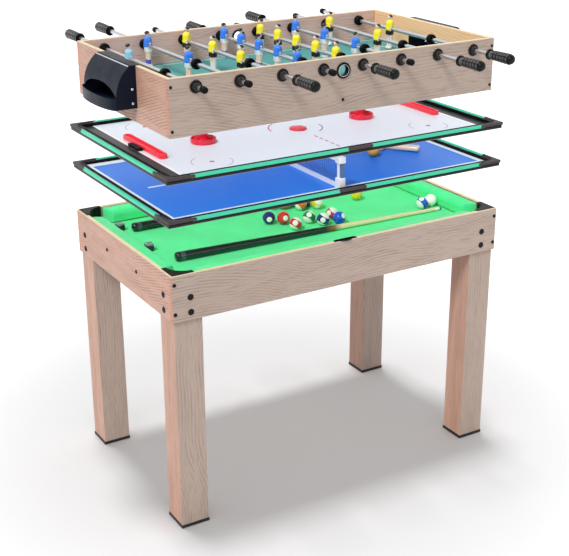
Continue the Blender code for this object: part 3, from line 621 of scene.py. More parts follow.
@dataclass(frozen=True)
class Cloth(Finish):
    """Close green table cloth with a soft sheen."""

    colour: Colour

    def paint(self, graph: Graph) -> dict[str, object]:
        """The weave's shade moves the colour a little, and its height is the bump; the underside is bare board."""
        height, shade = graph.effect(cloth_weave, graph.place())
        cloth = graph.mix(graph.span(shade, 0.3, 0.7), dimmed(self.colour, 0.8), self.colour)
        return {
            "Base Color": graph.mix(graph.facing()[2] < -0.5, cloth, rgb(168, 146, 122)),
            "Roughness": graph.span(shade, 0.0, 1.0, 0.82, 0.95),
            "Normal": graph.bump(height, 0.00025, 0.5),
            "Sheen Weight": 0.25,
        }


@dataclass(frozen=True)
class Moulded(Finish):
    """Moulded or painted material of one colour, or of the mesh's own tint where it has none."""

    colour: Colour | None
    roughness: float = 0.4
    texture: float = 0.5
    coat: float = 0.0
    gloss: float = 0.5

    def paint(self, graph: Graph) -> dict[str, object]:
        """Smudges change the colour and roughness slightly, and the moulded texture is the bump."""
        smudge, texture = graph.marks(graph.place())
        colour = self.colour or graph.reading("tint")
        return {
            "Base Color": graph.mix(smudge * 0.18, colour, (0.75, 0.75, 0.78), "MULTIPLY"),
            "Roughness": smudge * 0.12 + self.roughness,
            "Normal": graph.bump(texture, 0.0001, self.texture),
            "Coat Weight": self.coat,
            "Coat Roughness": 0.12,
            "Specular IOR Level": self.gloss,
        }


@dataclass(frozen=True)
class Board(Finish):
    """A painted playing board: its colour on top, black edges and a pale underside."""

    colour: Colour
    roughness: float = 0.3
    mottle: float = 0.16
    bands: tuple[float, float] | None = None

    def paint(self, graph: Graph) -> dict[str, object]:
        """The way a face looks picks its colour, and fine print noise and smudges vary the top.

        Where the distance from the middle passes the two places of the bands, the top is white and then dark.
        """
        place = graph.place()
        smudge, texture = graph.marks(place, 900.0)
        top = graph.mix(graph.noise(place, 260.0, 1.0) * self.mottle, self.colour, dimmed(self.colour, 0.8))
        if self.bands:
            out = abs(graph.split(place)[0])
            for start, paint in zip(self.bands, (rgb(255, 255, 255), rgb(46, 48, 56))):
                top = graph.mix(out > start, top, paint)
        up = graph.facing()[2]
        under = graph.mix(graph.span(up, -0.8, -0.5), rgb(206, 198, 188), rgb(24, 23, 25))
        return {
            "Base Color": graph.mix(graph.span(up, 0.93, 0.98), under, top),
            "Roughness": smudge * (self.mottle * 0.4) + self.roughness,
            "Normal": graph.bump(texture, 0.00004, self.mottle * 2.5),
            "Specular IOR Level": 0.25,
        }


@dataclass(frozen=True)
class Polished(Finish):
    """Bright metal with faint drawn lines along Y."""

    colour: Colour
    roughness: float = 0.16

    def paint(self, graph: Graph) -> dict[str, object]:
        """Noise drawn out along the bar changes the roughness, and smudges dull it in places."""
        place = graph.place()
        drawn = graph.noise(place, (900.0, 20.0, 900.0), 1)
        smudge, _ = graph.marks(place)
        return {
            "Base Color": graph.mix(drawn, self.colour, dimmed(self.colour, 0.86)),
            "Roughness": drawn * 0.08 + (smudge * 0.08 + self.roughness),
            "Metallic": 1.0,
        }


@dataclass(frozen=True)
class BallResin(Finish):
    """Polished resin whose band and number disc come from the direction of each point from the ball's centre."""

    def paint(self, graph: Graph) -> dict[str, object]:
        """White outside the band where the ball is striped, and a white disc round its facing direction."""
        white = rgb(248, 247, 238)
        facing, _, pole = graph.split(graph.reading("way", "Vector"))
        band_off = graph.span(abs(pole), 0.50, 0.53) * graph.reading("striped", "Fac")
        coloured = graph.mix(band_off, graph.reading("tint"), white)
        smudge, _ = graph.marks(graph.place())
        return {
            "Base Color": graph.mix(graph.span(facing, 0.895, 0.91), coloured, white),
            "Roughness": smudge * 0.06 + 0.08,
            "Coat Weight": 0.4,
            "Coat Roughness": 0.03,
        }


@dataclass(frozen=True)
class Varnish(Finish):
    """Varnished wood or lacquer of the mesh's tint, with fine grain along X where it is pale."""

    def paint(self, graph: Graph) -> dict[str, object]:
        """Fine long noise darkens the tint, and a clear coat lies over it."""
        grain = graph.span(graph.noise(graph.place(), (14.0, 420.0, 420.0)), 0.4, 0.75)
        return {
            "Base Color": graph.mix(grain * 0.3, graph.reading("tint"), (0.62, 0.45, 0.3), "MULTIPLY"),
            "Roughness": grain * 0.1 + 0.26,
            "Normal": graph.bump(grain, 0.0001, 0.3),
            "Coat Weight": 0.5,
            "Coat Roughness": 0.08,
        }


OAK_ROW = Oak("oak_long", "oak_panel", Grain.ALONG_X)
OAK_END = Oak("oak_end", "oak_panel", Grain.ALONG_Y)
OAK_LEG = Oak("oak_leg", "oak_panel", Grain.ALONG_Z)
OAK_BOX_END = Oak("oak_box_end", "oak_panel", Grain.ALONG_Y, cream_inside=True)
BED_CLOTH = Cloth("bed_cloth", "green_bed", rgb(84, 250, 164))
CUSHION_CLOTH = Cloth("cushion_cloth", "green_cushion", rgb(84, 250, 164))
POCKET_BLACK = Moulded("pocket_plastic", "pocket_black", rgb(14, 14, 17), 0.4, gloss=0.14)
BOLT_BLACK = Moulded("bolt_black", "pocket_black", rgb(15, 13, 13), 0.3, gloss=0.2)
RAIL_BLACK = Moulded("rail_black", "mint_rail", rgb(12, 11, 13), 0.45, gloss=0.12)
BRACKET_GREY = Moulded("bracket_grey", "mint_rail", rgb(70, 63, 66), 0.5, gloss=0.25)
MINT = Moulded("mint_strip", "mint_rail", rgb(68, 207, 166), 0.3, 0.2, gloss=0.4)
TENNIS_BLUE = Board("tennis_paint", "tennis_blue", rgb(34, 124, 228), 0.36, 0.08)
LINE_WHITE = Moulded("line_paint", "tennis_blue", rgb(240, 246, 250), 0.4, 0.3)
HOCKEY_WHITE = Board("hockey_paint", "hockey_white", rgb(232, 241, 255), 0.34, 0.01)
HOCKEY_LINES = Moulded("hockey_marks", "hockey_white", None, 0.4, 0.1, gloss=0.15)
NET_BLACK = Moulded("net_cord", "net_white", rgb(58, 92, 170), 0.7)
PAD_BLUE = Moulded("post_pad", "net_white", rgb(86, 108, 150), 0.6)
POST_WHITE = Moulded("post_plastic", "net_white", rgb(236, 240, 244), 0.4)
GOAL_RED = Moulded("goal_plastic", "goal_red", rgb(248, 42, 66), 0.3, coat=0.2)
PUSHER_RED = Moulded("pusher_plastic", "pusher_red", rgb(232, 30, 62), 0.26, coat=0.3)
PITCH_GREEN = Board("pitch_paint", "pitch_green", rgb(88, 164, 162), 0.5, 0.12)
PITCH_LINES = Moulded("pitch_lines", "pitch_green", rgb(226, 236, 232), 0.5)
RETURN_SATIN = Moulded("return_plastic", "return_black", rgb(13, 22, 38), 0.36, 0.3, gloss=0.12)
BEARING_BLACK = Moulded("bearing_plastic", "return_black", rgb(7, 7, 10), 0.2, 0.2, gloss=0.1)
CHROME = Polished("chrome_rod", "rod_and_figures", rgb(210, 211, 216), 0.14)
SILVER = Polished("silver_strip", "rod_and_figures", rgb(214, 216, 220), 0.22)
FIGURE_PAINT = Moulded("figure_paint", "rod_and_figures", None, 0.3, 0.3, coat=0.2)
GRIP_BLACK = Moulded("grip_plastic", "grip_black", None, 0.2, 0.15, coat=0.2, gloss=0.1)
RUBBER = Moulded("stop_rubber", "ring_rubber", rgb(9, 9, 11), 0.34, 0.4, gloss=0.1)
RESIN = BallResin("ball_resin", "ball_resin")
CUE_WOOD = Varnish("cue_varnish", "cue_wood")


# Pieces
def mesh_of(name: str, shape: Shape) -> bpy.types.Mesh:
    """A mesh of a shape with its point attributes, its faces looking outward."""
    mesh = bpy.data.meshes.new(name)
    mesh.from_pydata(shape.points.tolist(), [], [row for rows in shape.faces for row in rows.tolist()])
    kinds = {1: ("FLOAT", "value"), 3: ("FLOAT_VECTOR", "vector"), 4: ("FLOAT_COLOR", "color")}
    for title, rows in shape.values.items():
        kind, slot = kinds[rows.shape[1]]
        mesh.attributes.new(title, kind, "POINT").data.foreach_set(slot, np.ascontiguousarray(rows, float).ravel())
    work = bmesh.new()
    work.from_mesh(mesh)
    bmesh.ops.recalc_face_normals(work, faces=work.faces[:])
    work.to_mesh(mesh)
    work.free()
    return mesh


def linked(name: str, data: object) -> bpy.types.Object:
    """A new object of the scene with its data."""
    made = bpy.data.objects.new(name, data)
    bpy.context.collection.objects.link(made)
    return made


def piece(
    name: str, shape: Shape | list[Shape], finish: Finish, body: str, *replaces: str, smooth: float = 40.0,
) -> bpy.types.Object:
    """Puts a shape into the scene.

    Args:
        name: the piece's name.
        shape: its closed shape, or several, measured from the middle of the table.
        finish: its finish.
        body: the body it rides on.
        replaces: the frame nodes it stands for.
        smooth: the angle in degrees above which an edge stays sharp.

    Returns:
        The object, at the origin.
    """
    whole = joined(shape) if isinstance(shape, list) else shape
    made = linked(name, mesh_of(name, whole.moved(0, TABLE_Y, 0)))
    made.data.shade_smooth()
    made.data.set_sharp_from_angle(angle=math.radians(smooth))
    made.data.materials.append(material_of(finish))
    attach(made, body)
    if replaces:
        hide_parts(*replaces)
    LOG.info("piece %s: %d points on %s", name, len(whole.points), body)
    return made


def dress(finish: Finish, *nodes: str) -> None:
    """Gives frame nodes a finish in place of their plain material."""
    for node in nodes:
        made = frame["nodes"][node]
        if not made.data.materials:
            made.data.materials.append(material_of(finish))
        for slot in made.material_slots:
            slot.material = material_of(finish)
        LOG.info("node %s: %s", node, finish.name)


# Table base
@dataclass
class TableBase:
    """Aprons, legs, bed, cushions, pockets and bolts of the pool table."""

    cushion_width: float = 0.042
    cushion_drop: float = 0.004
    corner_clearance: float = 0.062
    mitre: float = 0.020
    pocket_reach: float = 0.068
    liner: float = 0.006
    plate: float = 0.0015
    plate_inset: float = 0.0045
    bolts_long: tuple = ((0.482, 0.690, 1.0), (0.482, 0.648, 1.0), (0.527, 0.731, 0.6), (0.527, 0.649, 0.6))
    bolts_end: tuple = ((0.268, 0.690, 1.0), (0.268, 0.647, 1.0), (0.10, 0.697, 0.6))
    bolt_radius: float = 0.0088
    bolt_head: float = 0.0022
    middle_trim: float = 0.075

    def __post_init__(self) -> None:
        """Reads the base's own measures from the frame."""
        self.half_length, _, self.rim = map(float, corners("apron_front")[1])
        self.half_width = float(corners("apron_back")[1][1])
        self.bed = float(corners("pool_bed")[1][2])

    def build(self) -> None:
        """Dresses the frame's nodes and makes the rest."""
        dress(OAK_ROW, "apron_front", "apron_back")
        dress(OAK_END, "apron_left", "apron_right")
        dress(OAK_LEG, "leg_front_left", "leg_front_right", "leg_back_left", "leg_back_right")
        dress(BED_CLOTH, "pool_bed")
        self.build_cushions()
        self.build_pockets()
        self.build_bolts()

    def cushion_profile(self) -> list[tuple[float, float]]:
        """Inward distance and height: up the wall, over a crowned top, round the nose and back under it."""
        base, top, width = self.bed + HAIR, self.rim - self.cushion_drop, self.cushion_width
        tall = top - base
        return softened([
            (0.0005, base), (0.0005, top - 0.0012), (0.004, top), (width * 0.45, top + 0.0006),
            (width * 0.78, top - 0.0004), (width * 0.93, base + tall * 0.84), (width, base + tall * 0.66),
            (width * 0.985, base + tall * 0.5), (width * 0.95, base + tall * 0.25), (width * 0.93, base),
            (width * 0.3, base),
        ], closed=True)

    def build_cushions(self) -> None:
        """Carries the profile along each wall; the mitre takes off length in step with the distance inward."""
        profile = np.asarray(self.cushion_profile())
        centre = profile.mean(0)
        rounding = ((0.0, 0.84), (0.0008, 0.94), (0.003, 1.0))
        stations = [(-1, *step) for step in rounding] + [(1, *step) for step in rounding[::-1]]
        size = (self.half_length, self.half_width)
        for quarter, place in enumerate(("front", "right", "back", "left")):
            half_run, wall = size if quarter % 2 == 0 else size[::-1]
            reach = half_run - PANEL - self.corner_clearance
            rings = []
            for end, back, share in stations:
                inner, height = (centre + (profile - centre) * share).T
                along = end * (reach - self.mitre * inner / self.cushion_width - back)
                rings.append(grid(along, inner - wall + PANEL, height))
            name = f"cushion_{place}"
            piece(f"cloth_{name}", loft(np.array(rings)).turned("Z", 90 * quarter), CUSHION_CLOTH, "base", name)

    def build_pockets(self) -> None:
        """A liner and a plate in each corner, each between the corner and one concave arc, and the middle trims."""
        wall = np.array((self.half_length, self.half_width)) - PANEL - GAP
        reach = self.pocket_reach - PANEL
        centre = wall - reach
        curve = arc(centre, reach - self.liner, 0, 90, 28)
        over = self.rim + GAP

        def wedge(corner: Array) -> Array:
            """The outline between a corner and the arc."""
            return np.vstack(([(corner[0], centre[1])], curve, [(centre[0], corner[1])], [corner]))[::-1]

        liner = prism(wedge(wall), self.bed + GAP, over)
        lid_corner = np.array((self.half_length, self.half_width)) - self.plate_inset
        lid = prism(wedge(lid_corner), over, over + self.plate, 0.0004)
        for across, x_side in (("left", -1), ("right", 1)):
            for along, y_side in (("front", -1), ("back", 1)):
                name = f"pocket_{along}_{across}"
                shape = joined([liner, lid]).scaled(x_side, y_side, 1)
                piece(f"moulded_{name}", shape, POCKET_BLACK, "base", name)
        for name, turn in (("front", 0), ("back", 180)):
            piece(f"middle_trim_{name}", self.middle_plate(over).turned("Z", turn), POCKET_BLACK, "base")

    def middle_plate(self, over: float) -> Shape:
        """A middle pocket's trim: a plate over the rim whose inner edge swings in along a shallow arc."""
        half = self.middle_trim / 2
        dip = arc((0, 0.052), 0.060, 222, 318, 16)
        dip = dip * (half * 0.8 / dip[-1, 0], 1.0)
        dip[:, 1] += 0.0135 - dip[0, 1]
        outline = np.vstack((
            [(-half, 0.0012), (half, 0.0012), (half - 0.002, 0.0125)], dip[::-1], [(-half + 0.002, 0.0125)],
        ))
        return prism(outline, over, over + self.plate, 0.0004).moved(0, -self.half_width, 0)

    def build_bolts(self) -> None:
        """Bolt heads on all four aprons."""
        heads = []
        for spots, wall, turns in (
            (self.bolts_long, self.half_width, (0, 180)), (self.bolts_end, self.half_length, (90, -90)),
        ):
            for place, z, share in spots:
                for side in (-1, 1):
                    head = bolt(self.bolt_radius * share, self.bolt_head).moved(side * place, -wall, z)
                    heads += [head.turned("Z", turn) for turn in turns]
        piece("apron_bolts", heads, BOLT_BLACK, "base")


# Things on the pool bed
class Ball(Enum):
    """The balls of the set: their colour and whether they are striped."""

    CUE = (rgb(250, 249, 244), 0.0)
    YELLOW = (rgb(250, 206, 30), 0.0)
    BLUE = (rgb(24, 84, 214), 0.0)
    RED = (rgb(222, 34, 44), 0.0)
    PURPLE = (rgb(44, 34, 110), 0.0)
    ORANGE = (rgb(244, 112, 44), 0.0)
    GREEN = (rgb(10, 106, 66), 0.0)
    BLACK = (rgb(22, 22, 26), 0.0)
    YELLOW_BAND = (rgb(250, 206, 30), 1.0)
    BLUE_BAND = (rgb(24, 84, 214), 1.0)
    RED_BAND = (rgb(222, 34, 44), 1.0)
    PURPLE_BAND = (rgb(52, 34, 120), 1.0)
    ORANGE_BAND = (rgb(244, 112, 44), 1.0)
    GREEN_BAND = (rgb(14, 126, 76), 1.0)
    MAGENTA_BAND = (rgb(206, 40, 96), 1.0)


@dataclass
class PoolSet:
    """Cues, balls and chalks on the bed.

    A ball is given by its kind, its place and the turn and rise of its number disc.
    """

    radius: float = 0.019
    cue_length: float = 0.890
    butt: float = 0.0135
    tip: float = 0.0052
    cue_start: float = -0.425
    band_tilt: float = 0.5
    plain_share: float = 0.5
    chalks: tuple = ((-0.451, 0.200, 12.0), (-0.449, 0.001, -8.0))
    rack: tuple = (
        (Ball.PURPLE_BAND, 0.028, 0.137, 200, 30), (Ball.ORANGE, 0.0604, 0.1183, 250, 5),
        (Ball.GREEN, 0.0980, 0.1183, 250, 40), (Ball.BLACK, 0.1306, 0.0995, 300, -10),
        (Ball.ORANGE_BAND, 0.0980, 0.0807, 215, 45), (Ball.YELLOW_BAND, 0.1494, 0.0669, 240, -30),
    )
    loose: tuple = (
        (Ball.PURPLE, -0.0495, 0.0205, 245, 0), (Ball.RED, -0.0136, -0.0043, 262, 15),
        (Ball.RED_BAND, -0.0087, -0.0653, 236, 25), (Ball.GREEN_BAND, 0.0564, -0.0357, 238, 42),
        (Ball.PURPLE_BAND, 0.0818, -0.0732, 236, 8), (Ball.MAGENTA_BAND, 0.1316, -0.044, 200, 20),
        (Ball.BLUE, 0.1289, -0.0885, 292, 30), (Ball.YELLOW, 0.301, 0.076, 60, 20),
        (Ball.BLUE_BAND, 0.4238, -0.104, 215, 60), (Ball.CUE, 0.4615, -0.096, 240, 30),
    )

    def __post_init__(self) -> None:
        """Reads the bed's height."""
        self.bed = float(corners("pool_bed")[1][2]) + GAP

    def ball(self, kind: Ball, x: float, y: float, turn: float, rise: float) -> Shape:
        """A ball: a sphere whose number disc looks along a direction given by a turn and a rise.

        The cue ball's directions are shortened, which leaves it without a disc or a band.
        """
        sphere = lathe([(math.sin(a), math.cos(a)) for a in np.radians(np.linspace(-88, 88, 23))], "Z")
        colour, striped = kind.value
        a, b = math.radians(turn), math.radians(rise)
        facing = np.array((math.cos(a) * math.cos(b), math.sin(a) * math.cos(b), math.sin(b)))
        side = np.array((-math.sin(a), math.cos(a), 0.0))
        pole = np.cross(facing, side) * math.cos(self.band_tilt) + side * math.sin(self.band_tilt)
        way = sphere.points @ np.stack((facing, np.cross(pole, facing), pole), 1)
        if kind is Ball.CUE:
            way = way * self.plain_share
        sphere = sphere.tinted(colour).with_value("striped", (striped,)).with_value("way", way)
        return sphere.scaled(*(self.radius,) * 3).moved(x, y, self.bed + self.radius)

    def cue(self, butt_y: float, tip_y: float, black_to: float) -> Shape:
        """A cue: straight taper with a rounded butt and a domed tip, tinted by its distance along."""
        black, pale, white = rgb(16, 18, 23), rgb(238, 218, 176), rgb(244, 244, 238)
        grey, brown, chalk = rgb(66, 72, 84), rgb(150, 96, 46), rgb(60, 80, 110)
        end, to_wood = self.cue_length, black_to - self.cue_start
        zones = (
            (0.0, black), (0.013, black), (0.0131, grey), (0.026, grey), (0.0261, black), (to_wood - 0.03, black),
            (to_wood, brown), (to_wood + 0.025, pale), (0.866, pale), (0.8661, white), (0.884, white),
            (0.8841, chalk), (end, chalk),
        )
        stations = [station for station, _ in zones]
        marks = np.unique([0.0, 0.001, 0.003, 0.006, *stations[1:-1], end - 0.002, end - 0.0005, end])
        radius = self.butt + (self.tip - self.butt) * marks / end
        rounded_at, share = (0, 0.001, 0.003, 0.006, 0.888, 0.8895, 0.890), (0.55, 0.8, 0.96, 1.0, 1.0, 0.82, 0.5)
        radius *= np.interp(marks, rounded_at, share)
        shape = lathe(np.c_[marks, radius], "X", 24)
        channels = zip(*(colour for _, colour in zones))
        rows = [np.interp(shape.points[:, 0], stations, channel) for channel in channels]
        taper = math.degrees(math.atan((self.butt - self.tip) / end))
        yaw = math.degrees(math.asin((tip_y - butt_y) / end))
        laid = shape.with_value("tint", np.stack([*rows, np.ones(len(shape.points))], 1)).moved(0, 0, self.butt)
        return laid.turned("Y", taper).turned("Z", yaw).moved(self.cue_start, butt_y, self.bed)

    def chalk(self, x: float, y: float, turn: float) -> Shape:
        """A chalk cube: rounded block, paper to 17 mm, and a dished top."""
        half, paper_to = 0.0112, 0.01655
        outline = rounded_box(-half, -half, half, half, 0.002, 4)
        levels = (
            (0.0, 0.9), (0.001, 1.0), (0.0165, 1.0), (0.0166, 0.985), (0.0205, 0.97), (0.0215, 0.92), (0.0213, 0.6),
            (0.0195, 0.25),
        )
        shape = stacked([(outline * share, z) for z, share in levels])
        bare, paper = (*rgb(120, 130, 134), 1.0), (*rgb(30, 33, 38), 1.0)
        tint = np.where((shape.points[:, 2] > paper_to)[:, None], bare, paper)
        return shape.with_value("tint", tint).turned("Z", turn).moved(x, y, self.bed)

    def build(self) -> None:
        """Makes everything that lies on the bed."""
        piece("cue_near", self.cue(-0.118, -0.143, 0.08), CUE_WOOD, "base", "cue_front")
        piece("cue_far", self.cue(0.168, 0.162, 0.03), CUE_WOOD, "base", "cue_back")
        piece("balls_racked", [self.ball(*spec) for spec in self.rack], RESIN, "base", "racked_balls")
        for number, spec in enumerate(self.loose, 1):
            piece(f"ball_loose_{number}", self.ball(*spec), RESIN, "base")
        for number, spec in enumerate(self.chalks, 1):
            piece(f"chalk_{number}", self.chalk(*spec), CUE_WOOD, "base")


# Loose layers
@dataclass
class LooseLayer:
    """What the two loose layers share: rail, strips and brackets."""

    name: str
    rail_width: float = 0.023
    rail_gap: float = 0.0005
    bead_width: float = 0.0075
    strip_width: float = 0.0122
    strip_height: float = 0.0038
    wrap: float = 0.0044
    overhang: float = 0.0012
    long_arm: float = 0.066
    short_arm: float = 0.068
    middle_at: float = 0.0
    middle_half: float = 0.036
    plate_height: float = 0.0022

    def __post_init__(self) -> None:
        """Reads the board's and the rail's places."""
        low, high = corners(f"{self.name}_board")
        self.half_length = float(high[0])
        self.half_width = float((high[1] - low[1]) / 2)
        self.top = float(high[2])
        self.rail_top = float(corners(f"{self.name}_rail")[1][2])
        self.body = f"{self.name}_layer"
        edge = self.rail_width + self.rail_gap
        self.inner = (self.half_length - edge, self.half_width - edge)
        self.printed = (self.top + PRINT[0], self.top + PRINT[1])

    def strip(self, low: float, high: float) -> Shape:
        """A half-round strip along X, over the rail's edge and down its side: width cos a by height sin a."""
        angle, ends = np.linspace(0, np.pi, 13), np.linspace(0, np.pi / 2, 6)
        end_share, blunt, sunk = 0.42, 0.12, 0.0008
        inset = self.strip_width * end_share * (1 - np.sin(ends))
        share = np.clip(np.sin(ends + blunt) / math.sin(math.pi / 2 + blunt), blunt, 1.0)
        share[-1] = 1.0
        stations = np.r_[low + inset, (high - inset)[::-1]][:, None]
        size = np.r_[share, share[::-1]][:, None]
        root = size ** 0.5
        across = self.strip_width / 2 * np.r_[np.cos(angle), -1, 1] * root
        up = np.hstack((self.strip_height * np.sin(angle) * size, -self.wrap * root, np.full_like(root, -sunk)))
        return loft(grid(stations, across, up))

    def build_rail(self) -> None:
        """Half-round strips and beads between black brackets, on the black rail."""
        dress(RAIL_BLACK, f"{self.name}_rail")
        base, centre, gap = self.rail_top - 0.0001, self.strip_width / 2 - self.overhang, 0.001
        strips = []
        for low, high in ((-self.half_length + self.long_arm, self.middle_at - self.middle_half),
                          (self.middle_at + self.middle_half, self.half_length - self.long_arm)):
            for start, end, turn in ((low, high, 0), (-high, -low, 180)):
                strip = self.strip(start + gap, end - gap).moved(0, centre - self.half_width, base)
                strips.append(strip.turned("Z", turn))
        side = self.half_width - self.short_arm - gap
        short = self.strip(-side, side).moved(0, centre - self.half_length, base)
        strips += [short.turned("Z", 90), short.turned("Z", -90)]
        piece(f"{self.name}_strips", strips, MINT, self.body)
        beads = []
        for half, deep, turn in ((self.half_length, self.half_width, 0), (self.half_width, self.half_length, 90)):
            reach, edge = half - self.rail_width, self.rail_width - 0.0006 - deep
            top = self.rail_top + self.plate_height
            bead = block((-reach, edge - self.bead_width, self.rail_top - 0.003), (reach, edge, top), 0.0012)
            beads += [bead.turned("Z", turn), bead.turned("Z", turn + 180)]
        piece(f"{self.name}_rail_beads", beads, RAIL_BLACK, self.body)
        corner = self.corner_bracket()
        signs = [(x_side, y_side, 1) for x_side in (-1, 1) for y_side in (-1, 1)]
        middles = [self.middle_bracket(turn) for turn in (0, 180)]
        titles = (("brackets", RAIL_BLACK), ("bracket_lips", BRACKET_GREY))
        for part, (title, finish) in enumerate(titles):
            shapes = [corner[part].scaled(*sign) for sign in signs] + [middle[part] for middle in middles]
            piece(f"{self.name}_{title}", shapes, finish, self.body)

    def middle_bracket(self, turn: int) -> tuple[Shape, Shape]:
        """The bracket in the middle of a long rail: a plate over the rail and a longer outer lip."""
        x, half, front = (self.middle_at if turn == 0 else -self.middle_at), self.middle_half, -self.half_width
        plate = rounded_box(x - half, front, x + half, self.rail_width + front, 0.0015, 3)
        lip = rounded_box(x - half - 0.004, front - 0.0016, x + half + 0.004, front + 0.0085, 0.0012, 3)
        top = self.rail_top
        return (prism(plate, top - 0.0002, top + self.plate_height, 0.0007).turned("Z", turn),
                prism(lip, top - self.wrap, top + 0.0036, 0.0009).turned("Z", turn))

    def corner_bracket(self) -> tuple[Shape, Shape]:
        """The bracket of the corner at +X +Y: an L plate over the rail and a raised outer lip that tapers."""
        corner, wide = np.array((self.half_length, self.half_width)), self.rail_width
        long_arm, short_arm = self.long_arm, self.short_arm
        plate = corner - (
            (long_arm, 0), (long_arm, wide), (wide, wide), (wide, short_arm), (0, short_arm), (0, 0),
        )
        lip = corner - (
            (long_arm + 0.012, -0.0016), (long_arm + 0.010, 0.004), (0.026, 0.0100), (0.0100, 0.026),
            (0.004, short_arm + 0.010), (-0.0016, short_arm + 0.012), (-0.0016, -0.0016),
        )
        low = self.rail_top - 0.0002
        return (prism(plate, low, low + self.plate_height, 0.0006),
                prism(lip, self.rail_top - self.wrap, low + 0.0040, 0.0009))


@dataclass
class TennisLayer(LooseLayer):
    """Blue board with white lines, a net between two posts, a bat and a ball.

    bat holds its place and its turn in degrees, and ball holds its place.
    """

    name: str = "tennis"
    middle_at: float = 0.020
    middle_half: float = 0.040
    line: float = 0.0275
    end_line: float = 0.016
    tape: float = 0.012
    net_height: float = 0.086
    post_half: float = 0.0110
    bat: tuple = (0.304, 0.014, -48.0)
    ball: tuple = (0.261, -0.068)
    ball_radius: float = 0.0195

    def build(self) -> None:
        """Dresses the board and its rail, and makes the rest."""
        dress(TENNIS_BLUE, "tennis_board")
        self.build_rail()
        self.build_lines()
        self.build_net()
        self.build_bat()

    def build_lines(self) -> None:
        """White lines round the edge, lengthwise down the middle, and across under the net."""
        (low, high), (x, y), edge = self.printed, self.inner, HAIR
        outer = rectangle(-x, -y, x, y)
        reach = x - self.line - 0.04
        lines = [
            band(drawn_in(outer, (self.end_line, self.line)), outer, low, high),
            block((-reach, -0.005, low), (reach, 0.005, high - edge), edge),
            block((0.014, self.line - y, low), (0.026, y - self.line, high), edge),
        ]
        piece("tennis_lines", lines, LINE_WHITE, self.body)

    def build_net(self) -> None:
        """A net of thin square strands between two tapes; the posts are white clamps with dark pads."""
        low, high = corners("tennis_net")
        half = float(high[1] - low[1]) / 2 - 0.0160
        base, tall, tape, strand = self.top + GAP, self.net_height, self.tape, 0.0003
        uprights, rows = 61, 8
        bottom, top = base + tape / 2, base + tall - tape / 2
        cords = [block((-strand, y - strand, bottom), (strand, y + strand, top), 0.0001)
                 for y in np.linspace(-half, half, uprights)[1:-1]]
        cords += [block((-strand, -half, z - strand), (strand, half, z + strand), 0.0001)
                  for z in base + np.linspace(tape, tall - tape, rows)[1:-1]]
        piece("tennis_net_cords", cords, NET_BLACK, self.body, "tennis_net")
        white = [block((-0.0011, -half, z), (0.0011, half, z + tape), 0.0005) for z in (base, base + tall - tape)]
        pads = []
        for side in (-1, 1):
            place = side * (half + 0.005)
            near, far = place - self.post_half, place + self.post_half
            arm = sorted((place, place - side * 0.007))
            white += [
                block((-0.0105, near, base), (0.0105, far, base + 0.032), 0.0014),
                block((-0.0105, near, base + tall - 0.0128), (0.011, far, base + tall + 0.0052), 0.0014),
                block((-0.0065, arm[0], base + 0.01), (-0.0005, arm[1], base + tall), 0.001),
            ]
            pad = block((-0.0008, near + 0.002, base + 0.028), (0.0075, far - 0.003, base + tall - 0.006), 0.0012)
            pads.append(pad)
        piece("tennis_net_tapes_and_posts", white, POST_WHITE, self.body)
        piece("tennis_post_pads", pads, PAD_BLUE, self.body)

    def build_bat(self) -> None:
        """A small bat: an egg-shaped blade with a rubber each side, and a flared handle; then the ball."""
        x, y, turn = self.bat
        base = self.top + GAP
        angle = np.linspace(0, 2 * np.pi, 48, endpoint=False)
        egg = np.stack((0.047 * np.cos(angle) + 0.003, 0.0445 * np.sin(angle) * (1 - 0.08 * np.cos(angle))), 1)
        ply = prism(egg, base + 0.0019, base + 0.0068, 0.0004)
        stations = ((0.036, 0.0125, 0.0022), (0.048, 0.0115, 0.0026), (0.060, 0.0105, 0.0075), (0.080, 0.0105, 0.0088),
                    (0.125, 0.0125, 0.0092), (0.146, 0.0140, 0.0095), (0.152, 0.0134, 0.0088), (0.1545, 0.0105, 0.0060))
        along, wide, tall = np.array(stations).T[:, :, None]
        around = np.linspace(0, 2 * np.pi, 24, endpoint=False)
        blade_middle, handle_middle = 0.00435, 0.0097
        sunk = (handle_middle - blade_middle) * np.maximum(0.0, 1 - (along - 0.036) / 0.024)
        up = base + handle_middle + tall * swelled(np.sin(around), 0.8) - sunk
        handle = loft(grid(along, wide * swelled(np.cos(around), 0.8), up))
        faces = [prism(inward(egg, 0.0006), base + low, base + high, 0.0004)
                 for low, high in ((0.0, 0.0018), (0.0069, 0.0087))]
        wooden = joined([ply, handle]).tinted(rgb(246, 220, 190))
        for name, shape, finish in (("wood", wooden, CUE_WOOD), ("rubber", joined(faces), RUBBER)):
            piece(f"bat_{name}", shape.turned("Z", turn).moved(x, y, 0), finish, self.body)
        ball = blob((self.ball_radius,) * 3, (0, 0, self.ball_radius), 32, 21).tinted(rgb(255, 176, 60))
        piece("tennis_ball", ball.moved(*self.ball, base), FIGURE_PAINT, self.body)


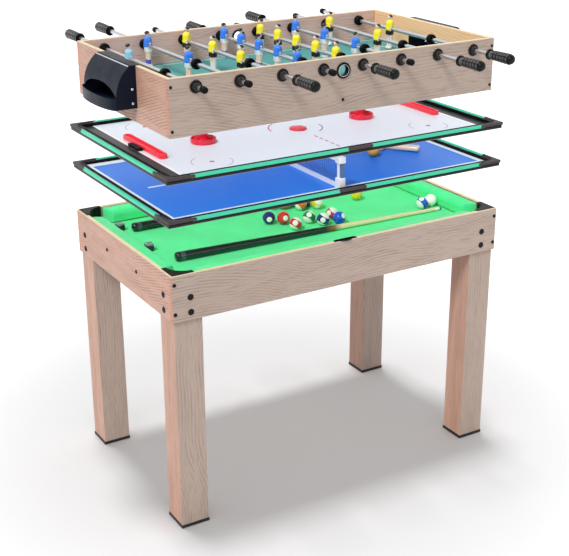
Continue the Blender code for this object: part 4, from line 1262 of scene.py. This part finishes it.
@dataclass
class HockeyLayer(LooseLayer):
    """White board with markings, two goals, two pushers and a puck.

    facing_off holds how far the face-off spots lie from the middle along X and along Y.
    """

    name: str = "hockey"
    middle_at: float = 0.042
    margin: float = 0.022
    end_margin: float = 0.008
    end_band: float = 0.034
    middle_spot: tuple = (0.013, -0.028)
    facing_off: tuple = (0.352, 0.210)
    dash_pitch: float = 0.028
    goal_x: float = 0.448
    goal_half: float = 0.125
    goal_radius: float = 0.013
    stop_past: float = 0.0225
    stop_aside: float = 0.012
    pushers: tuple = (("pusher_left", -0.285, -0.030), ("pusher_right", 0.240, -0.030))
    puck: tuple = (0.011, -0.046)

    def build(self) -> None:
        """Dresses the board and its rail, and makes the rest."""
        dark_from = self.inner[0] - self.end_band
        dress(replace(HOCKEY_WHITE, bands=(dark_from - self.end_margin, dark_from)), "hockey_board")
        self.build_rail()
        self.build_marks()
        self.build_goals()
        self.build_pushers()

    def build_marks(self) -> None:
        """Centre line of dashes, and arcs round the centre and the face-off spots."""
        low, high = self.printed
        red, blue, faint = rgb(196, 70, 92), rgb(120, 112, 140), rgb(196, 178, 196)
        x, y = self.middle_spot
        marks = []
        for place in (self.dash_pitch * k for k in range(-9, 10)):
            if abs(place - y) > 0.085 and abs(place) < self.inner[1] - self.margin:
                dash = block((x - 0.0018, place - 0.009, low), (x + 0.0018, place + 0.009, high), HAIR)
                marks.append(dash.tinted(red))
        arcs = [(self.middle_spot, 0.078, 0.0032, 119, 60, red), (self.middle_spot, 0.078, 0.0032, -61, 60, blue)]
        for x_side in (-1, 1):
            for y_side in (-1, 1):
                centre = (x_side * self.facing_off[0], y_side * self.facing_off[1])
                arcs += [(centre, 0.055, 0.0022, start, 70, faint) for start in (-66, 114)]
                arcs.append((centre, 0.0045, 0.004, 0, 360, red))
        marks += [arc_band(centre, radius, width, low, high, start, start + sweep).tinted(colour)
                  for centre, radius, width, start, sweep, colour in arcs]
        piece("hockey_markings", marks, HOCKEY_LINES, self.body)

    def capsule(self, inset: float) -> Array:
        """A capsule outline drawn in by an inset: two half circles and the straight sides between them."""
        radius, straight, steps = self.goal_radius, self.goal_half - self.goal_radius, 20
        sides = ((1, 0), (-1, 180))
        ends = [arc((0, side * straight), radius - inset, start, start + 180, steps) for side, start in sides]
        return np.vstack(ends)

    def build_goals(self) -> None:
        """Goal troughs: rings of capsules up the wall, over a rounded lip and down to the slot's floor."""
        levels = ((0.0004, 0.0), (0.0, 0.0006), (0.0, 0.0098), (0.0005, 0.0112), (0.0014, 0.0119), (0.0050, 0.0119),
                  (0.0058, 0.0114), (0.0062, 0.0100), (0.0066, 0.0062), (0.0076, 0.0056))
        base = float(corners("hockey_goal_left")[0][2])
        trough = stacked([(self.capsule(inset), z) for inset, z in levels])
        shelf = prism(rounded_box(-0.0075, -0.034, 0.0075, 0.034, 0.003, 4), base, base + 0.008, 0.0008)
        for node, side in (("hockey_goal_left", -1), ("hockey_goal_right", 1)):
            piece(f"{node}_moulding", trough.moved(side * self.goal_x, 0, base), GOAL_RED, self.body, node)
            stop = shelf.moved(side * (self.goal_x + self.stop_past), -self.stop_aside * side, 0)
            piece(f"{node}_stop", stop, RAIL_BLACK, self.body)

    def build_pushers(self) -> None:
        """Pushers turned from a dished base and a waisted knob, and the puck as a plain rounded disc."""
        base = float(corners("pusher_left")[0][2])
        profile = softened([
            (0.0, 0.0300), (0.0, 0.0345), (0.0020, 0.0360), (0.0125, 0.0360), (0.0140, 0.0352), (0.0140, 0.0338),
            (0.0120, 0.0328), (0.0050, 0.0312), (0.0040, 0.0280), (0.0040, 0.0190), (0.0060, 0.0140),
            (0.0150, 0.0118), (0.0300, 0.0136), (0.0380, 0.0150), (0.0412, 0.0140), (0.0420, 0.0105), (0.0420, 0.0020),
        ])
        for node, x, y in self.pushers:
            piece(f"{node}_moulding", lathe(profile, "Z", 56).moved(x, y, base), PUSHER_RED, self.body, node)
        disc = [(0.0, 0.0235), (0.0004, 0.0250), (0.0025, 0.0255), (0.0046, 0.0250), (0.0052, 0.0235), (0.0054, 0.0010)]
        puck = lathe(softened(disc, 1), "Z", 48).moved(*self.puck, base)
        piece("hockey_puck", puck, PUSHER_RED, self.body)


# Table football
class Team(Enum):
    """The two teams: shirt, shorts, socks, the socks' top and the way they face."""

    BLUE = (rgb(48, 128, 236), rgb(242, 244, 248), rgb(92, 96, 206), -40.0, 1)
    YELLOW = (rgb(255, 238, 36), rgb(22, 22, 26), rgb(242, 242, 238), -19.0, -1)
    BLUE_KEEPER = (rgb(150, 206, 240), rgb(242, 244, 248), rgb(226, 232, 240), -26.0, 1)


@dataclass
class FootballBox:
    """Panels, bearings, pitch, ball returns and their fittings.

    The depths of a return are measured outward from the end panel, and its heights from its own base.
    mouth holds the half width and the height of the opening in the end panel.
    """

    body: str = "football_box"
    return_width: float = 0.215
    top_depth: float = 0.017
    hood_depth: float = 0.0575
    cup_depth: float = 0.080
    cup_straight: float = 0.058
    cup_height: float = 0.030
    return_height: float = 0.110
    wall: float = 0.003
    arch_width: float = 0.200
    arch_height: float = 0.028
    bearing_radius: float = 0.0162
    nose_radius: float = 0.0094
    bore: float = 0.0066
    rod_pitch: float = 0.124
    rod_below: float = 0.027
    entry_below: float = 0.036
    entry_radius: float = 0.0217
    entry_hole: float = 0.0150
    line: float = 0.004
    line_inset: float = 0.020
    ring_reach: float = 0.0034
    paint_margin: float = 0.0004
    mouth: tuple[float, float] = (0.0948, 0.0458)

    def __post_init__(self) -> None:
        """Reads the box's measures from the frame."""
        low, high = corners("box_panel_left")
        self.half_length = float(-low[0])
        self.top = float(high[2])
        self.inner_width = float(high[1] - low[1]) / 2 + GAP
        self.half_width = self.inner_width + PANEL
        self.rod_z = self.top - self.rod_below
        self.pitch = float(corners("football_pitch")[1][2])
        self.return_base = self.top - self.return_height

    def build(self) -> None:
        """Dresses the panels and makes the rest."""
        for node, side in (("box_panel_front", -1), ("box_panel_back", 1)):
            low, high = sorted((side * self.half_width + TABLE_Y, side * self.inner_width + TABLE_Y))
            limits = (round(low - self.paint_margin, 5), round(high + self.paint_margin, 5))
            dress(Oak(f"oak_{node}", "oak_panel", Grain.ALONG_X, black_outside=limits), node)
        dress(OAK_BOX_END, "box_panel_left", "box_panel_right")
        dress(PITCH_GREEN, "football_pitch")
        self.build_bearings()
        self.build_entry_rings()
        self.build_pitch_lines()
        self.build_returns()
        self.build_screws()

    def build_bearings(self) -> None:
        """Turned bearing covers outside and washers inside, hollow round the rods."""
        wide, nose, bore = self.bearing_radius, self.nose_radius, self.bore
        outside = softened([
            (-0.0003, bore), (-0.0003, wide), (0.0034, wide), (0.0046, wide - 0.0012), (0.0050, nose + 0.0018),
            (0.0062, nose), (0.0078, nose - 0.0002), (0.0086, nose - 0.0010), (0.0086, bore),
        ], 1, True)
        inside = softened([(0.0, bore), (0.0, 0.0150), (0.0012, 0.0145), (0.0016, 0.0120), (0.0016, bore)], 1, True)
        cover = lathe(outside, "Y", 40, True).moved(0, self.half_width, 0)
        washer = lathe(inside, "Y", 32, True).moved(0, -self.inner_width - HAIR, 0)
        rings = []
        for k in range(8):
            for turn in (180, 0):
                pair = (cover.turned("Z", turn), washer.turned("Z", 180 - turn))
                rings += [ring.moved((k - 3.5) * self.rod_pitch, 0, self.rod_z) for ring in pair]
        piece("rod_bearings", rings, BEARING_BLACK, self.body)

    def build_entry_rings(self) -> None:
        """The ball entry's black rings through both long panels, with a light inner ring."""
        outer, hole = self.entry_radius, self.entry_hole
        low, high = self.inner_width - self.ring_reach, self.half_width + self.ring_reach
        ring = softened([
            (low, hole), (low, outer - 0.0015), (low + 0.0012, outer), (high - 0.0012, outer), (high, outer - 0.0015),
            (high, hole),
        ], 1, True)
        lift = 0.0004
        light = [(high - lift, hole + 0.0002), (high - lift, hole + 0.0016), (high + lift, hole + 0.0012),
                 (high + lift, hole + 0.0004)]
        for name, profile, finish in (("entry_rings", ring, BEARING_BLACK), ("entry_ring_trims", light, SILVER)):
            shape = lathe(profile, "Y", 48, True)
            both = [shape.turned("Z", turn).moved(0, 0, self.top - self.entry_below) for turn in (0, 180)]
            piece(name, both, finish, self.body)

    def build_pitch_lines(self) -> None:
        """White lines: edge, halfway line, centre circle and spot, goal areas and their arcs."""
        low, high = self.pitch + PRINT[0], self.pitch + PRINT[1]
        x, y = self.half_length - PANEL - self.line_inset, self.inner_width - self.line_inset
        wide, edge = self.line, HAIR
        outer = rectangle(-x, -y, x, y)
        shapes = [
            band(drawn_in(outer, wide), outer, low, high),
            block((-wide / 2, wide - y, low), (wide / 2, y - wide, high), edge),
            arc_band((0, 0), 0.085, wide, low, high),
            arc_band((0, 0), 0.006, 0.010, low, high),
        ]
        for side in (-1, 1):
            for depth, half in ((0.150, 0.150), (0.060, 0.085)):
                near, far = sorted((side * (x - wide), side * (x - depth)))
                box = rectangle(near, -half, far, half)
                shapes.append(band(drawn_in(box, wide), box, low, high - edge))
            start = 90 * side + 42
            shapes.append(arc_band((side * (x - 0.115), 0), 0.060, wide, low, high, start, start + 96))
        piece("pitch_markings", shapes, PITCH_LINES, self.body)

    def cup_outline(self, inset: float) -> Array:
        """Half the plan of the cup: straight sides, then half an ellipse; (depth, sideways)."""
        half = self.return_width / 2 - inset
        depth = self.cup_depth - self.cup_straight - inset
        angle = np.linspace(np.pi / 2, -np.pi / 2, 41)
        start = -0.004 if inset else 0.0
        curve = np.stack((self.cup_straight + depth * np.cos(angle), half * np.sin(angle)), 1)
        return np.vstack(([(start, half)], curve, [(start, -half)]))[::-1]

    def hood_outline(self, inset: float) -> Array:
        """The hood's side view (depth, height): flat top and an arc that ends upright above the cup."""
        rise, out = self.return_height - self.cup_height, self.hood_depth - self.top_depth
        radius = (rise * rise + out * out) / (2 * out)
        end = math.degrees(math.asin(rise / radius))
        curve = arc((self.hood_depth - radius, self.cup_height), radius - inset, 0, end, 20)
        start, bottom = 0.0, self.cup_height / 2
        if inset:
            start, bottom, top = -0.004, self.wall, self.return_height - inset
            curve = np.vstack((curve[curve[:, 1] < top], [(self.top_depth - inset / 2, top)]))
        return np.vstack(([(start, bottom), (curve[0, 0], bottom)], curve, [(start, curve[-1, 1])]))

    def return_shape(self, side: int) -> Shape:
        """A ball return: hood and cup united, then their hollows and the arch cut out."""
        half = self.return_width / 2
        inner = half - self.wall
        angle = np.linspace(0, np.pi, 33)
        arch = np.stack((
            self.arch_width / 2 * np.cos(angle), self.cup_height - 0.0003 + self.arch_height * np.sin(angle),
        ), 1)
        steps = (
            (prism(self.hood_outline(0.0)[:, ::-1], -half, half, axis="Y"), "START"),
            (prism(self.cup_outline(0.0), 0.0, self.cup_height), "UNION"),
            (prism(self.hood_outline(self.wall)[:, ::-1], -inner, inner, axis="Y"), "DIFFERENCE"),
            (prism(self.cup_outline(self.wall), self.wall, self.cup_height + 0.002), "DIFFERENCE"),
            (prism(arch, self.top_depth, self.cup_depth + 0.004, axis="X"), "DIFFERENCE"),
        )
        place = (side * (self.half_length + GAP), TABLE_Y, self.return_base)
        cut = cut_solid([(shape.scaled(side, 1, 1).moved(*place), operation) for shape, operation in steps])
        return cut.moved(0, -TABLE_Y, 0)

    def build_returns(self) -> None:
        """Moulded ball returns, eased along their edges, their liners, silver strips and the left one's plate."""
        for name, side in (("ball_return_left", -1), ("ball_return_right", 1)):
            made = piece(f"{name}_moulding", self.return_shape(side), RETURN_SATIN, self.body, name, smooth=32)
            bevel = made.modifiers.new("ease", "BEVEL")
            bevel.width, bevel.segments, bevel.limit_method = 0.0011, 3, "ANGLE"
            bevel.angle_limit, bevel.harden_normals = math.radians(32), True
            for title, shape, finish in (("strip", self.strip(), SILVER), ("liner", self.liner(), RETURN_SATIN)):
                shape = shape.scaled(side, 1, 1).moved(side * (self.half_length + GAP), 0, self.return_base)
                piece(f"{name}_{title}", shape, finish, self.body)
        half, edge = self.return_width / 2 - 0.001, -self.half_length
        outline = rounded_box(edge - self.top_depth + 0.0022, -half, edge + 0.0125, half, 0.0015, 3)
        plate = prism(outline, GAP, 0.0016, 0.0005).moved(0, 0, self.top)
        piece("ball_return_left_plate", plate, RETURN_SATIN, self.body)

    def liner(self) -> Shape:
        """A frame on the end panel inside the hood, and a sleeve through the goal's mouth."""
        half, sill = self.return_width / 2 - 0.0033, self.pitch - self.return_base
        outer = rectangle(-half, self.wall + GAP, half, self.return_height - self.wall - 0.0006)
        mouth = rectangle(-self.mouth[0], sill + 0.0002, self.mouth[0], sill + self.mouth[1])
        hole = drawn_in(mouth, 0.0008)
        parts = [band(hole, outer, 0.0, 0.0010), band(hole, mouth, -0.0125, 0.0005)]
        return joined(parts).turned("Z", 90).turned("Y", 90)

    def strip(self) -> Shape:
        """A silver strip over the hood's top outer edge: a thin band that follows the arc."""
        outline, half, lift = self.hood_outline(0.0), self.return_width / 2 - 0.004, 0.0006
        top, below = outline[-2], outline[-5]
        line = top + (below - top) * np.linspace(0, 0.0034 / np.linalg.norm(below - top), 6)[:, None]
        lifts = np.array((0.0, 0.0, lift, lift))
        return loft(grid(line[:, :1] + lifts, half * np.array((-1, 1, 1, -1)), line[:, 1:] + lifts))

    def build_screws(self) -> None:
        """Black panel screws on the long sides, and silver ones on the returns."""
        black = [(side * 0.502, -self.half_width, z) for z in (1.235, 1.124) for side in (-1, 1)]
        black.append((0.0, -self.half_width, 1.143))
        reach = self.half_length + PANEL
        silver = [(side * reach, -self.return_width / 2, z) for side in (-1, 1) for z in (1.197, 1.160)]
        for name, places, finish, size in (
            ("box_screws", black, BOLT_BLACK, (0.0042, 0.0016)), ("return_screws", silver, SILVER, (0.0036, 0.0014)),
        ):
            heads = [bolt(*size).moved(*place).turned("Z", turn) for place in places for turn in (0, 180)]
            piece(name, heads, finish, self.body)


def cut_solid(steps: list[tuple[Shape, str]]) -> Shape:
    """Unites and cuts shapes in order with exact Booleans.

    Args:
        steps: shapes with the operation that each one joins by; the first is the start.

    Returns:
        The result as one shape.
    """
    holders = [linked("operand", mesh_of("operand", shape)) for shape, _ in steps]
    for holder, (_, operation) in zip(holders[1:], steps[1:]):
        cut = holders[0].modifiers.new(operation.lower(), "BOOLEAN")
        cut.object, cut.operation, cut.solver = holder, operation, "EXACT"
    bpy.context.view_layer.update()
    evaluated = holders[0].evaluated_get(bpy.context.evaluated_depsgraph_get())
    work = bmesh.new()
    work.from_mesh(evaluated.to_mesh())
    evaluated.to_mesh_clear()
    bmesh.ops.remove_doubles(work, verts=work.verts[:], dist=0.00001)
    bmesh.ops.dissolve_degenerate(work, edges=work.edges[:], dist=0.00001)
    points = np.array([vertex.co[:] for vertex in work.verts])
    faces = [np.array([[vertex.index for vertex in face.verts]]) for face in work.faces]
    work.free()
    for holder in holders:
        mesh = holder.data
        bpy.data.objects.remove(holder, do_unlink=True)
        bpy.data.meshes.remove(mesh)
    return Shape(points, faces)


@dataclass
class RodSet:
    """Eight rods with their figures, stops, loose rings and grips.

    counts, sides and teams go from rod 1 to rod 8; a side is 1 where the grip is at the back. The
    spacing of the figures is a share of the inner width, given by their number.
    """

    radius: float = 0.006
    inner_width: float = 0.2805
    wall_rest: float = 0.002
    stop_length: float = 0.012
    stop_radius: float = 0.0150
    man_width: float = 0.025
    keeper_share: float = 0.38
    cap_radius: float = 0.0090
    cap_length: float = 0.020
    grip_radius: float = 0.0166
    block_height: float = 0.0012
    counts: tuple = (1, 2, 3, 5, 5, 3, 2, 1)
    pitch_shares: dict = field(default_factory=lambda: {2: 0.927, 3: 0.585, 5: 0.371})
    sides: tuple = (1, 1, -1, 1, -1, 1, -1, -1)
    teams: tuple = (
        Team.BLUE_KEEPER, Team.BLUE, Team.YELLOW, Team.BLUE, Team.YELLOW, Team.BLUE, Team.YELLOW, Team.YELLOW,
    )

    def build(self) -> None:
        """Makes the eight rods."""
        for index in range(8):
            self.build_rod(index)

    def figure_places(self, index: int) -> list[float]:
        """Where the figures of a rod stand, from the back."""
        count = self.counts[index]
        if count == 1:
            return [self.keeper_share * self.inner_width]
        last = self.inner_width - self.wall_rest - self.stop_length - self.man_width / 2
        return [last - k * self.pitch_shares[count] * self.inner_width for k in range(count)]

    @staticmethod
    def figure(team: Team) -> Shape:
        """A figure that faces +X: superellipses and ellipsoids in millimetres round its rod, made metres at the end."""
        shirt, shorts, socks, sock_top, way = team.value
        skin, hair, boot = rgb(246, 214, 192), rgb(16, 13, 13), rgb(232, 232, 230)
        parts = []
        for side in (-1, 1):
            y, arm = 4.9 * side, 8.8 * side
            foot = [(1.2, y, -60, 5.4, 3.1), (1.5, y, -59.2, 6.4, 3.7), (1.3, y, -57, 6.2, 3.8),
                    (0.6, y, -54.5, 5.0, 3.6), (-0.2, y, -52.5, 3.6, 3.3)]
            sock = [(-0.2, y, -53.2, 3.6, 3.0), (-0.4, y, -49, 3.8, 3.1), (-0.7, y, -43, 4.6, 3.7),
                    (-0.2, y, sock_top, 4.9, 4.1)]
            knee = [(-0.5, y, -41, 4.4, 3.6), (0.1, y, -32, 4.2, 3.5), (0.4, y * 0.98, -22, 5.2, 4.0),
                    (0.3, y * 0.95, -14, 5.8, 4.3)]
            trouser = [(0.3, y, -18, 6.8, 4.7), (0.2, y * 0.98, -14, 7.2, 4.9), (0.0, y * 0.9, -9, 7.4, 5.0),
                       (0, y * 0.84, -5, 7.2, 4.9)]
            sleeve = [(0.4, arm * 0.86, 23.2, 2.6, 1.6), (0.5, arm * 0.97, 20.5, 3.4, 2.3), (0.9, arm, 14, 3.2, 1.8),
                      (1.2, arm, 9.5, 3.1, 1.8)]
            forearm = [(1.2, arm, 10.2, 2.6, 1.6), (2.2, arm, 3, 2.4, 1.5), (3.2, arm, -3, 2.1, 1.4)]
            parts += [
                (limb(foot, 12), boot), (limb(sock, 12, 2.1), socks), (limb(knee, 12, 2.1), skin),
                (limb(trouser, 12, 2.6), shorts), (limb(sleeve, 10, 2.1), shirt), (limb(forearm, 10, 2.0), skin),
                (blob((2.4, 1.6, 2.6), (3.4, arm, -4.5), 10, 7), skin),
                (blob((0.9, 0.5, 1.3), (-0.2, 4.75 * side, 34.2), 8, 5), skin),
            ]
        chest = [(0, 0, -4, 8.6, 9.6), (0, 0, -1, 9.4, 9.8), (0, 0, 2.5, 9.2, 9.4), (0, 0, 7, 8.4, 9.0),
                 (0.2, 0, 14, 8.2, 9.2), (0.2, 0, 20, 7.6, 9.6), (0, 0, 23.5, 6.0, 8.6), (0, 0, 25.6, 3.8, 5.0),
                 (0, 0, 26.4, 2.8, 3.2)]
        parts += [
            (limb([(0, 0, -9, 8.0, 9.4), (0, 0, -3, 8.4, 9.6)], 20, 2.8), shorts), (limb(chest, 20, 2.6), shirt),
            (limb([(0, 0, 25, 2.5, 2.5), (0, 0, 29.5, 2.4, 2.4)], 12, 2.0), skin),
            (blob((5.4, 4.7, 6.4), (0.2, 0, 34.6), 18, 11), skin), (blob((1.1, 0.9, 1.4), (5.5, 0, 34.0), 8, 5), skin),
            (blob((5.6, 5.2, 5.4), (-1.1, 0, 36.5), 18, 11), hair),
        ]
        deeper, wider, metres = 1.36, 1.18, 0.001
        scale = (deeper * way * metres, wider * metres, metres)
        return joined([shape.tinted(colour) for shape, colour in parts]).scaled(*scale)

    def grip(self, length: float) -> Shape:
        """A grip from its collar at 0 along +Y: a swelling barrel whose raised blocks stand in rings.

        The radius is the profile plus a block height where both the station's and the angle's waves
        are above their thresholds.
        """
        stations = (0.0, 0.004, 0.016, 0.055, 0.070, 0.090, 0.105, 0.150, 0.185, 0.24, 0.50, 0.84, 0.91, 0.95, 0.98,
                    0.993, 1.0)
        radii = (0.76, 0.84, 0.90, 0.90, 0.86, 0.66, 0.56, 0.56, 0.72, 0.75, 0.79, 0.84, 0.82, 0.74, 0.58, 0.42, 0.26)
        share = np.unique(np.r_[stations, np.linspace(0.12, 0.96, 70)])[:, None]
        angle = np.linspace(0, 2 * np.pi, 48, endpoint=False)
        first, last, pitch, columns = 0.20, 0.90, 0.125, 8
        rows = (np.sin((share - first) * 2 * np.pi / pitch) > -0.45) & (share > first) & (share < last)
        raised = rows & (np.cos(angle * columns) > -0.5)
        radius = np.interp(share, stations, radii) * self.grip_radius + self.block_height * raised
        # The tint paints highlights on the block tops and the neck, and shade in the grooves between the blocks
        block_painted_highlight, groove_painted_shade, neck_painted_highlight = 0.085, 0.0022, 0.16
        shade = np.where(raised, block_painted_highlight, groove_painted_shade) + neck_painted_highlight * ((share > 0.09) & (share < 0.17))
        tints = np.c_[np.repeat(shade.reshape(-1, 1), 3, 1), np.ones(shade.size)]
        return loft(grid(share * length, radius * np.sin(angle), radius * np.cos(angle), "Y")).with_value("tint", tints)

    def build_rod(self, index: int) -> None:
        """A chrome bar, its figures, its stop and cap, its loose ring and its grip."""
        number, side, radius = index + 1, self.sides[index], self.radius
        body = f"rod_group_{number}"
        low, high = (float(corner[1]) for corner in corners(f"rod_{number}"))
        grip_low, grip_high = (float(corner[1]) for corner in corners(f"grip_{number}"))
        ring_low, ring_high = corners(f"bumper_{number}")
        x, _, z = (ring_low + ring_high) / 2
        turn, free, grip_end = (180, low, grip_low) if side > 0 else (0, high, grip_high)
        bar_low, bar_high = (low + 0.004, high) if side > 0 else (low, high - 0.004)
        bar = lathe([(bar_low, radius * 0.9), (bar_low + 0.0006, radius), (bar_high - 0.0006, radius),
                     (bar_high, radius * 0.9)], "Y", 28)
        piece(f"rod_bar_{number}", bar.moved(x, 0, z), CHROME, body, f"rod_{number}")
        men = [self.figure(self.teams[index]).moved(x, y, z) for y in self.figure_places(index)]
        piece(f"figures_{number}", men, FIGURE_PAINT, body, smooth=50)
        back, long, wide = self.inner_width - self.wall_rest, self.stop_length, self.stop_radius
        stop = softened([
            (back - long, radius), (back - long, wide * 0.80), (back - long * 0.8, wide), (back - long * 0.2, wide),
            (back, wide * 0.80), (back, radius),
        ], closed=True)
        cap = softened([
            (0.0, 0.002), (-0.0002, 0.0060), (-0.003, 0.0086), (-0.008, self.cap_radius), (-0.019, self.cap_radius),
            (-self.cap_length, 0.0082), (-self.cap_length, 0.0064),
        ])
        capped = lathe(cap).turned("Z", turn).moved(x, free, z)
        piece(f"rod_stops_{number}", [lathe(stop, closed=True).moved(x, 0, z), capped], RUBBER, body)
        length, near = float(ring_high[1] - ring_low[1]), 0.0018
        ring = softened([(near, 0.0064), (near, 0.0125), (length * 0.18, 0.0146), (length * 0.5, 0.0150),
                         (length * 0.82, 0.0146), (length, 0.0125), (length, 0.0064)], closed=True)
        loose = lathe(ring, closed=True).moved(x, ring_low[1], z)
        piece(f"loose_ring_{number}", loose, RUBBER, f"rod_slider_{number}", f"bumper_{number}")
        grip = self.grip(grip_high - grip_low).turned("Z", 180 - turn).moved(x, grip_end, z)
        piece(f"grip_{number}_moulding", grip, GRIP_BLACK, body, f"grip_{number}")


# Studio
@dataclass
class Studio:
    """Floor, light and camera.

    key and overhead hold where the lamp shines from, its angle in degrees and its strength.
    """

    lens: float = 75.66
    place: tuple[float, float, float] = (-1.731, -2.895, 1.883)
    azimuth: float = 30.75
    elevation: float = 21.81
    roll: float = -0.259
    floor_size: float = 60.0
    floor_drop: float = 0.0005
    key: tuple = ((-1.4, -0.8, 1.9), 16.0, 2.3)
    overhead: tuple = ((0.0, 0.12, 1.0), 9.0, 1.75)
    horizon: float = 0.33
    belt: float = 0.79
    zenith: float = 0.28
    floor_glow: tuple[float, float] = (0.08, 0.56)

    def build(self) -> None:
        """Makes everything that is not part of the table."""
        self.build_camera()
        self.build_floor()
        self.build_world()

    def build_camera(self) -> None:
        """Points the camera down the fitted line of sight and rolls it."""
        turn, rise, lean = (math.radians(v) for v in (self.azimuth, self.elevation, self.roll))
        forward = Vector((math.sin(turn) * math.cos(rise), math.cos(turn) * math.cos(rise), -math.sin(rise)))
        right = Vector((math.cos(turn), -math.sin(turn), 0))
        up = right.cross(forward)
        across = right * math.cos(lean) + up * math.sin(lean)
        upward = up * math.cos(lean) - right * math.sin(lean)
        made = linked("photo_camera", bpy.data.cameras.new("photo_camera"))
        made.data.lens = self.lens
        made.data.clip_end = 200
        made.matrix_world = Matrix((across, upward, -forward)).transposed().to_4x4()
        made.location = (self.place[0], self.place[1] + TABLE_Y, self.place[2])
        bpy.context.scene.camera = made

    def build_floor(self) -> None:
        """A pale floor: diffuse white, plus a little white where it is seen, so that it reads as the backdrop."""
        half = self.floor_size / 2
        mesh = bpy.data.meshes.new("floor")
        mesh.from_pydata([(*point, 0) for point in rectangle(-half, -half, half, half)], [], [(0, 1, 2, 3)])
        made = linked("floor", mesh)
        made.location = (0, 0, -self.floor_drop)
        material = bpy.data.materials.new("floor_white")
        material.use_nodes = True
        graph = Graph(material.node_tree)
        # Painted light: where seen, the floor glows, rising from the first to the second number of floor_glow between
        # 0.55 m and 1.9 m from the floor's middle
        away = graph.add("ShaderNodeVectorMath", {"Vector": graph.place()}, "Value", operation="LENGTH")
        cloud = graph.noise(graph.place(), 0.7)
        for socket, value in {
            "Base Color": graph.mix(cloud, rgb(220, 220, 221), rgb(226, 226, 227)),
            "Roughness": 0.7,
            "Specular IOR Level": 0.1,
            "Emission Color": (1.0, 1.0, 1.0),
            "Emission Strength": self.seen(graph) * graph.span(away, 0.55, 1.9, *self.floor_glow),
        }.items():
            graph.put(material.node_tree.nodes["Principled BSDF"].inputs[socket], value)
        mesh.materials.append(material)
        made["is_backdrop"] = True

    def seen(self, graph: Graph) -> Signal:
        """1 for camera, glossy and transmission rays."""
        path = graph.new("ShaderNodeLightPath")
        camera, glossy, through = (
            Signal(graph, path.outputs[f"Is {kind} Ray"]) for kind in ("Camera", "Glossy", "Transmission")
        )
        return graph.math("MAXIMUM", graph.math("MAXIMUM", camera, glossy), through)

    def build_world(self) -> None:
        """White where it is seen; elsewhere a plain light, strongest halfway up: the less of two smooth ramps."""
        world = bpy.data.worlds.new("studio")
        world.use_nodes = True
        bpy.context.scene.world = world
        graph = Graph(world.node_tree)
        height = abs(graph.split(graph.add("ShaderNodeTexCoord", out="Generated"))[2])
        lower = graph.span(height, 0.0, 0.3, self.horizon, self.belt)
        sky = graph.math("MINIMUM", lower, graph.span(height, 0.6, 0.95, self.belt, self.zenith))
        seen = self.seen(graph)
        back = world.node_tree.nodes["Background"]
        graph.put(back.inputs["Color"], (1.0, 1.0, 1.0))
        graph.put(back.inputs["Strength"], seen + sky * (1.0 - seen))

    def light(self) -> None:
        """Lights each loose layer, and the bed with the aprons, as if nothing stood above.

        The floor has its own lamp.
        """
        groups: dict[str, list] = {"bed": [], "tennis_layer": [], "hockey_layer": [], "rest": []}
        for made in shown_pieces():
            body = (body_of(made) or ["rest"])[0]
            if body == "base" and not made.name.startswith("leg_"):
                body = "bed"
            groups[body if body in groups else "rest"].append(made)
        for name, pieces in groups.items():
            self.build_lamp(f"key_{name}", self.key, pieces, [] if name == "rest" else pieces)
        self.build_lamp("overhead", self.overhead, [bpy.data.objects["floor"]], [])

    def build_lamp(self, name: str, spec: tuple, lit: list, blockers: list) -> None:
        """A distant lamp with a soft edge.

        Args:
            name: the lamp's name.
            spec: where it shines from, its angle in degrees and its strength.
            lit: the objects that it lights.
            blockers: the objects that hold it back; with none, all do.
        """
        shines_from, angle, strength = spec
        made = linked(name, bpy.data.lights.new(name, "SUN"))
        made.data.energy = strength
        made.data.angle = math.radians(angle)
        made.rotation_euler = (-Vector(shines_from)).to_track_quat("-Z", "Y").to_euler()
        for title, members in (("receiver", lit), ("blocker", blockers)):
            if members:
                group = bpy.data.collections.new(f"{title}_{name}")
                for member in members:
                    group.objects.link(member)
                setattr(made.light_linking, f"{title}_collection", group)


def main() -> None:
    """Builds the studio and the table, bottom to top."""
    logging.basicConfig(level=logging.INFO, format="%(name)s %(message)s")
    bpy.context.scene.view_settings.view_transform = "Standard"
    studio = Studio()
    for part in (studio, TableBase(), PoolSet(), TennisLayer(), HockeyLayer(), FootballBox(), RodSet()):
        part.build()
    studio.light()


if __name__ == "__main__":
    main()
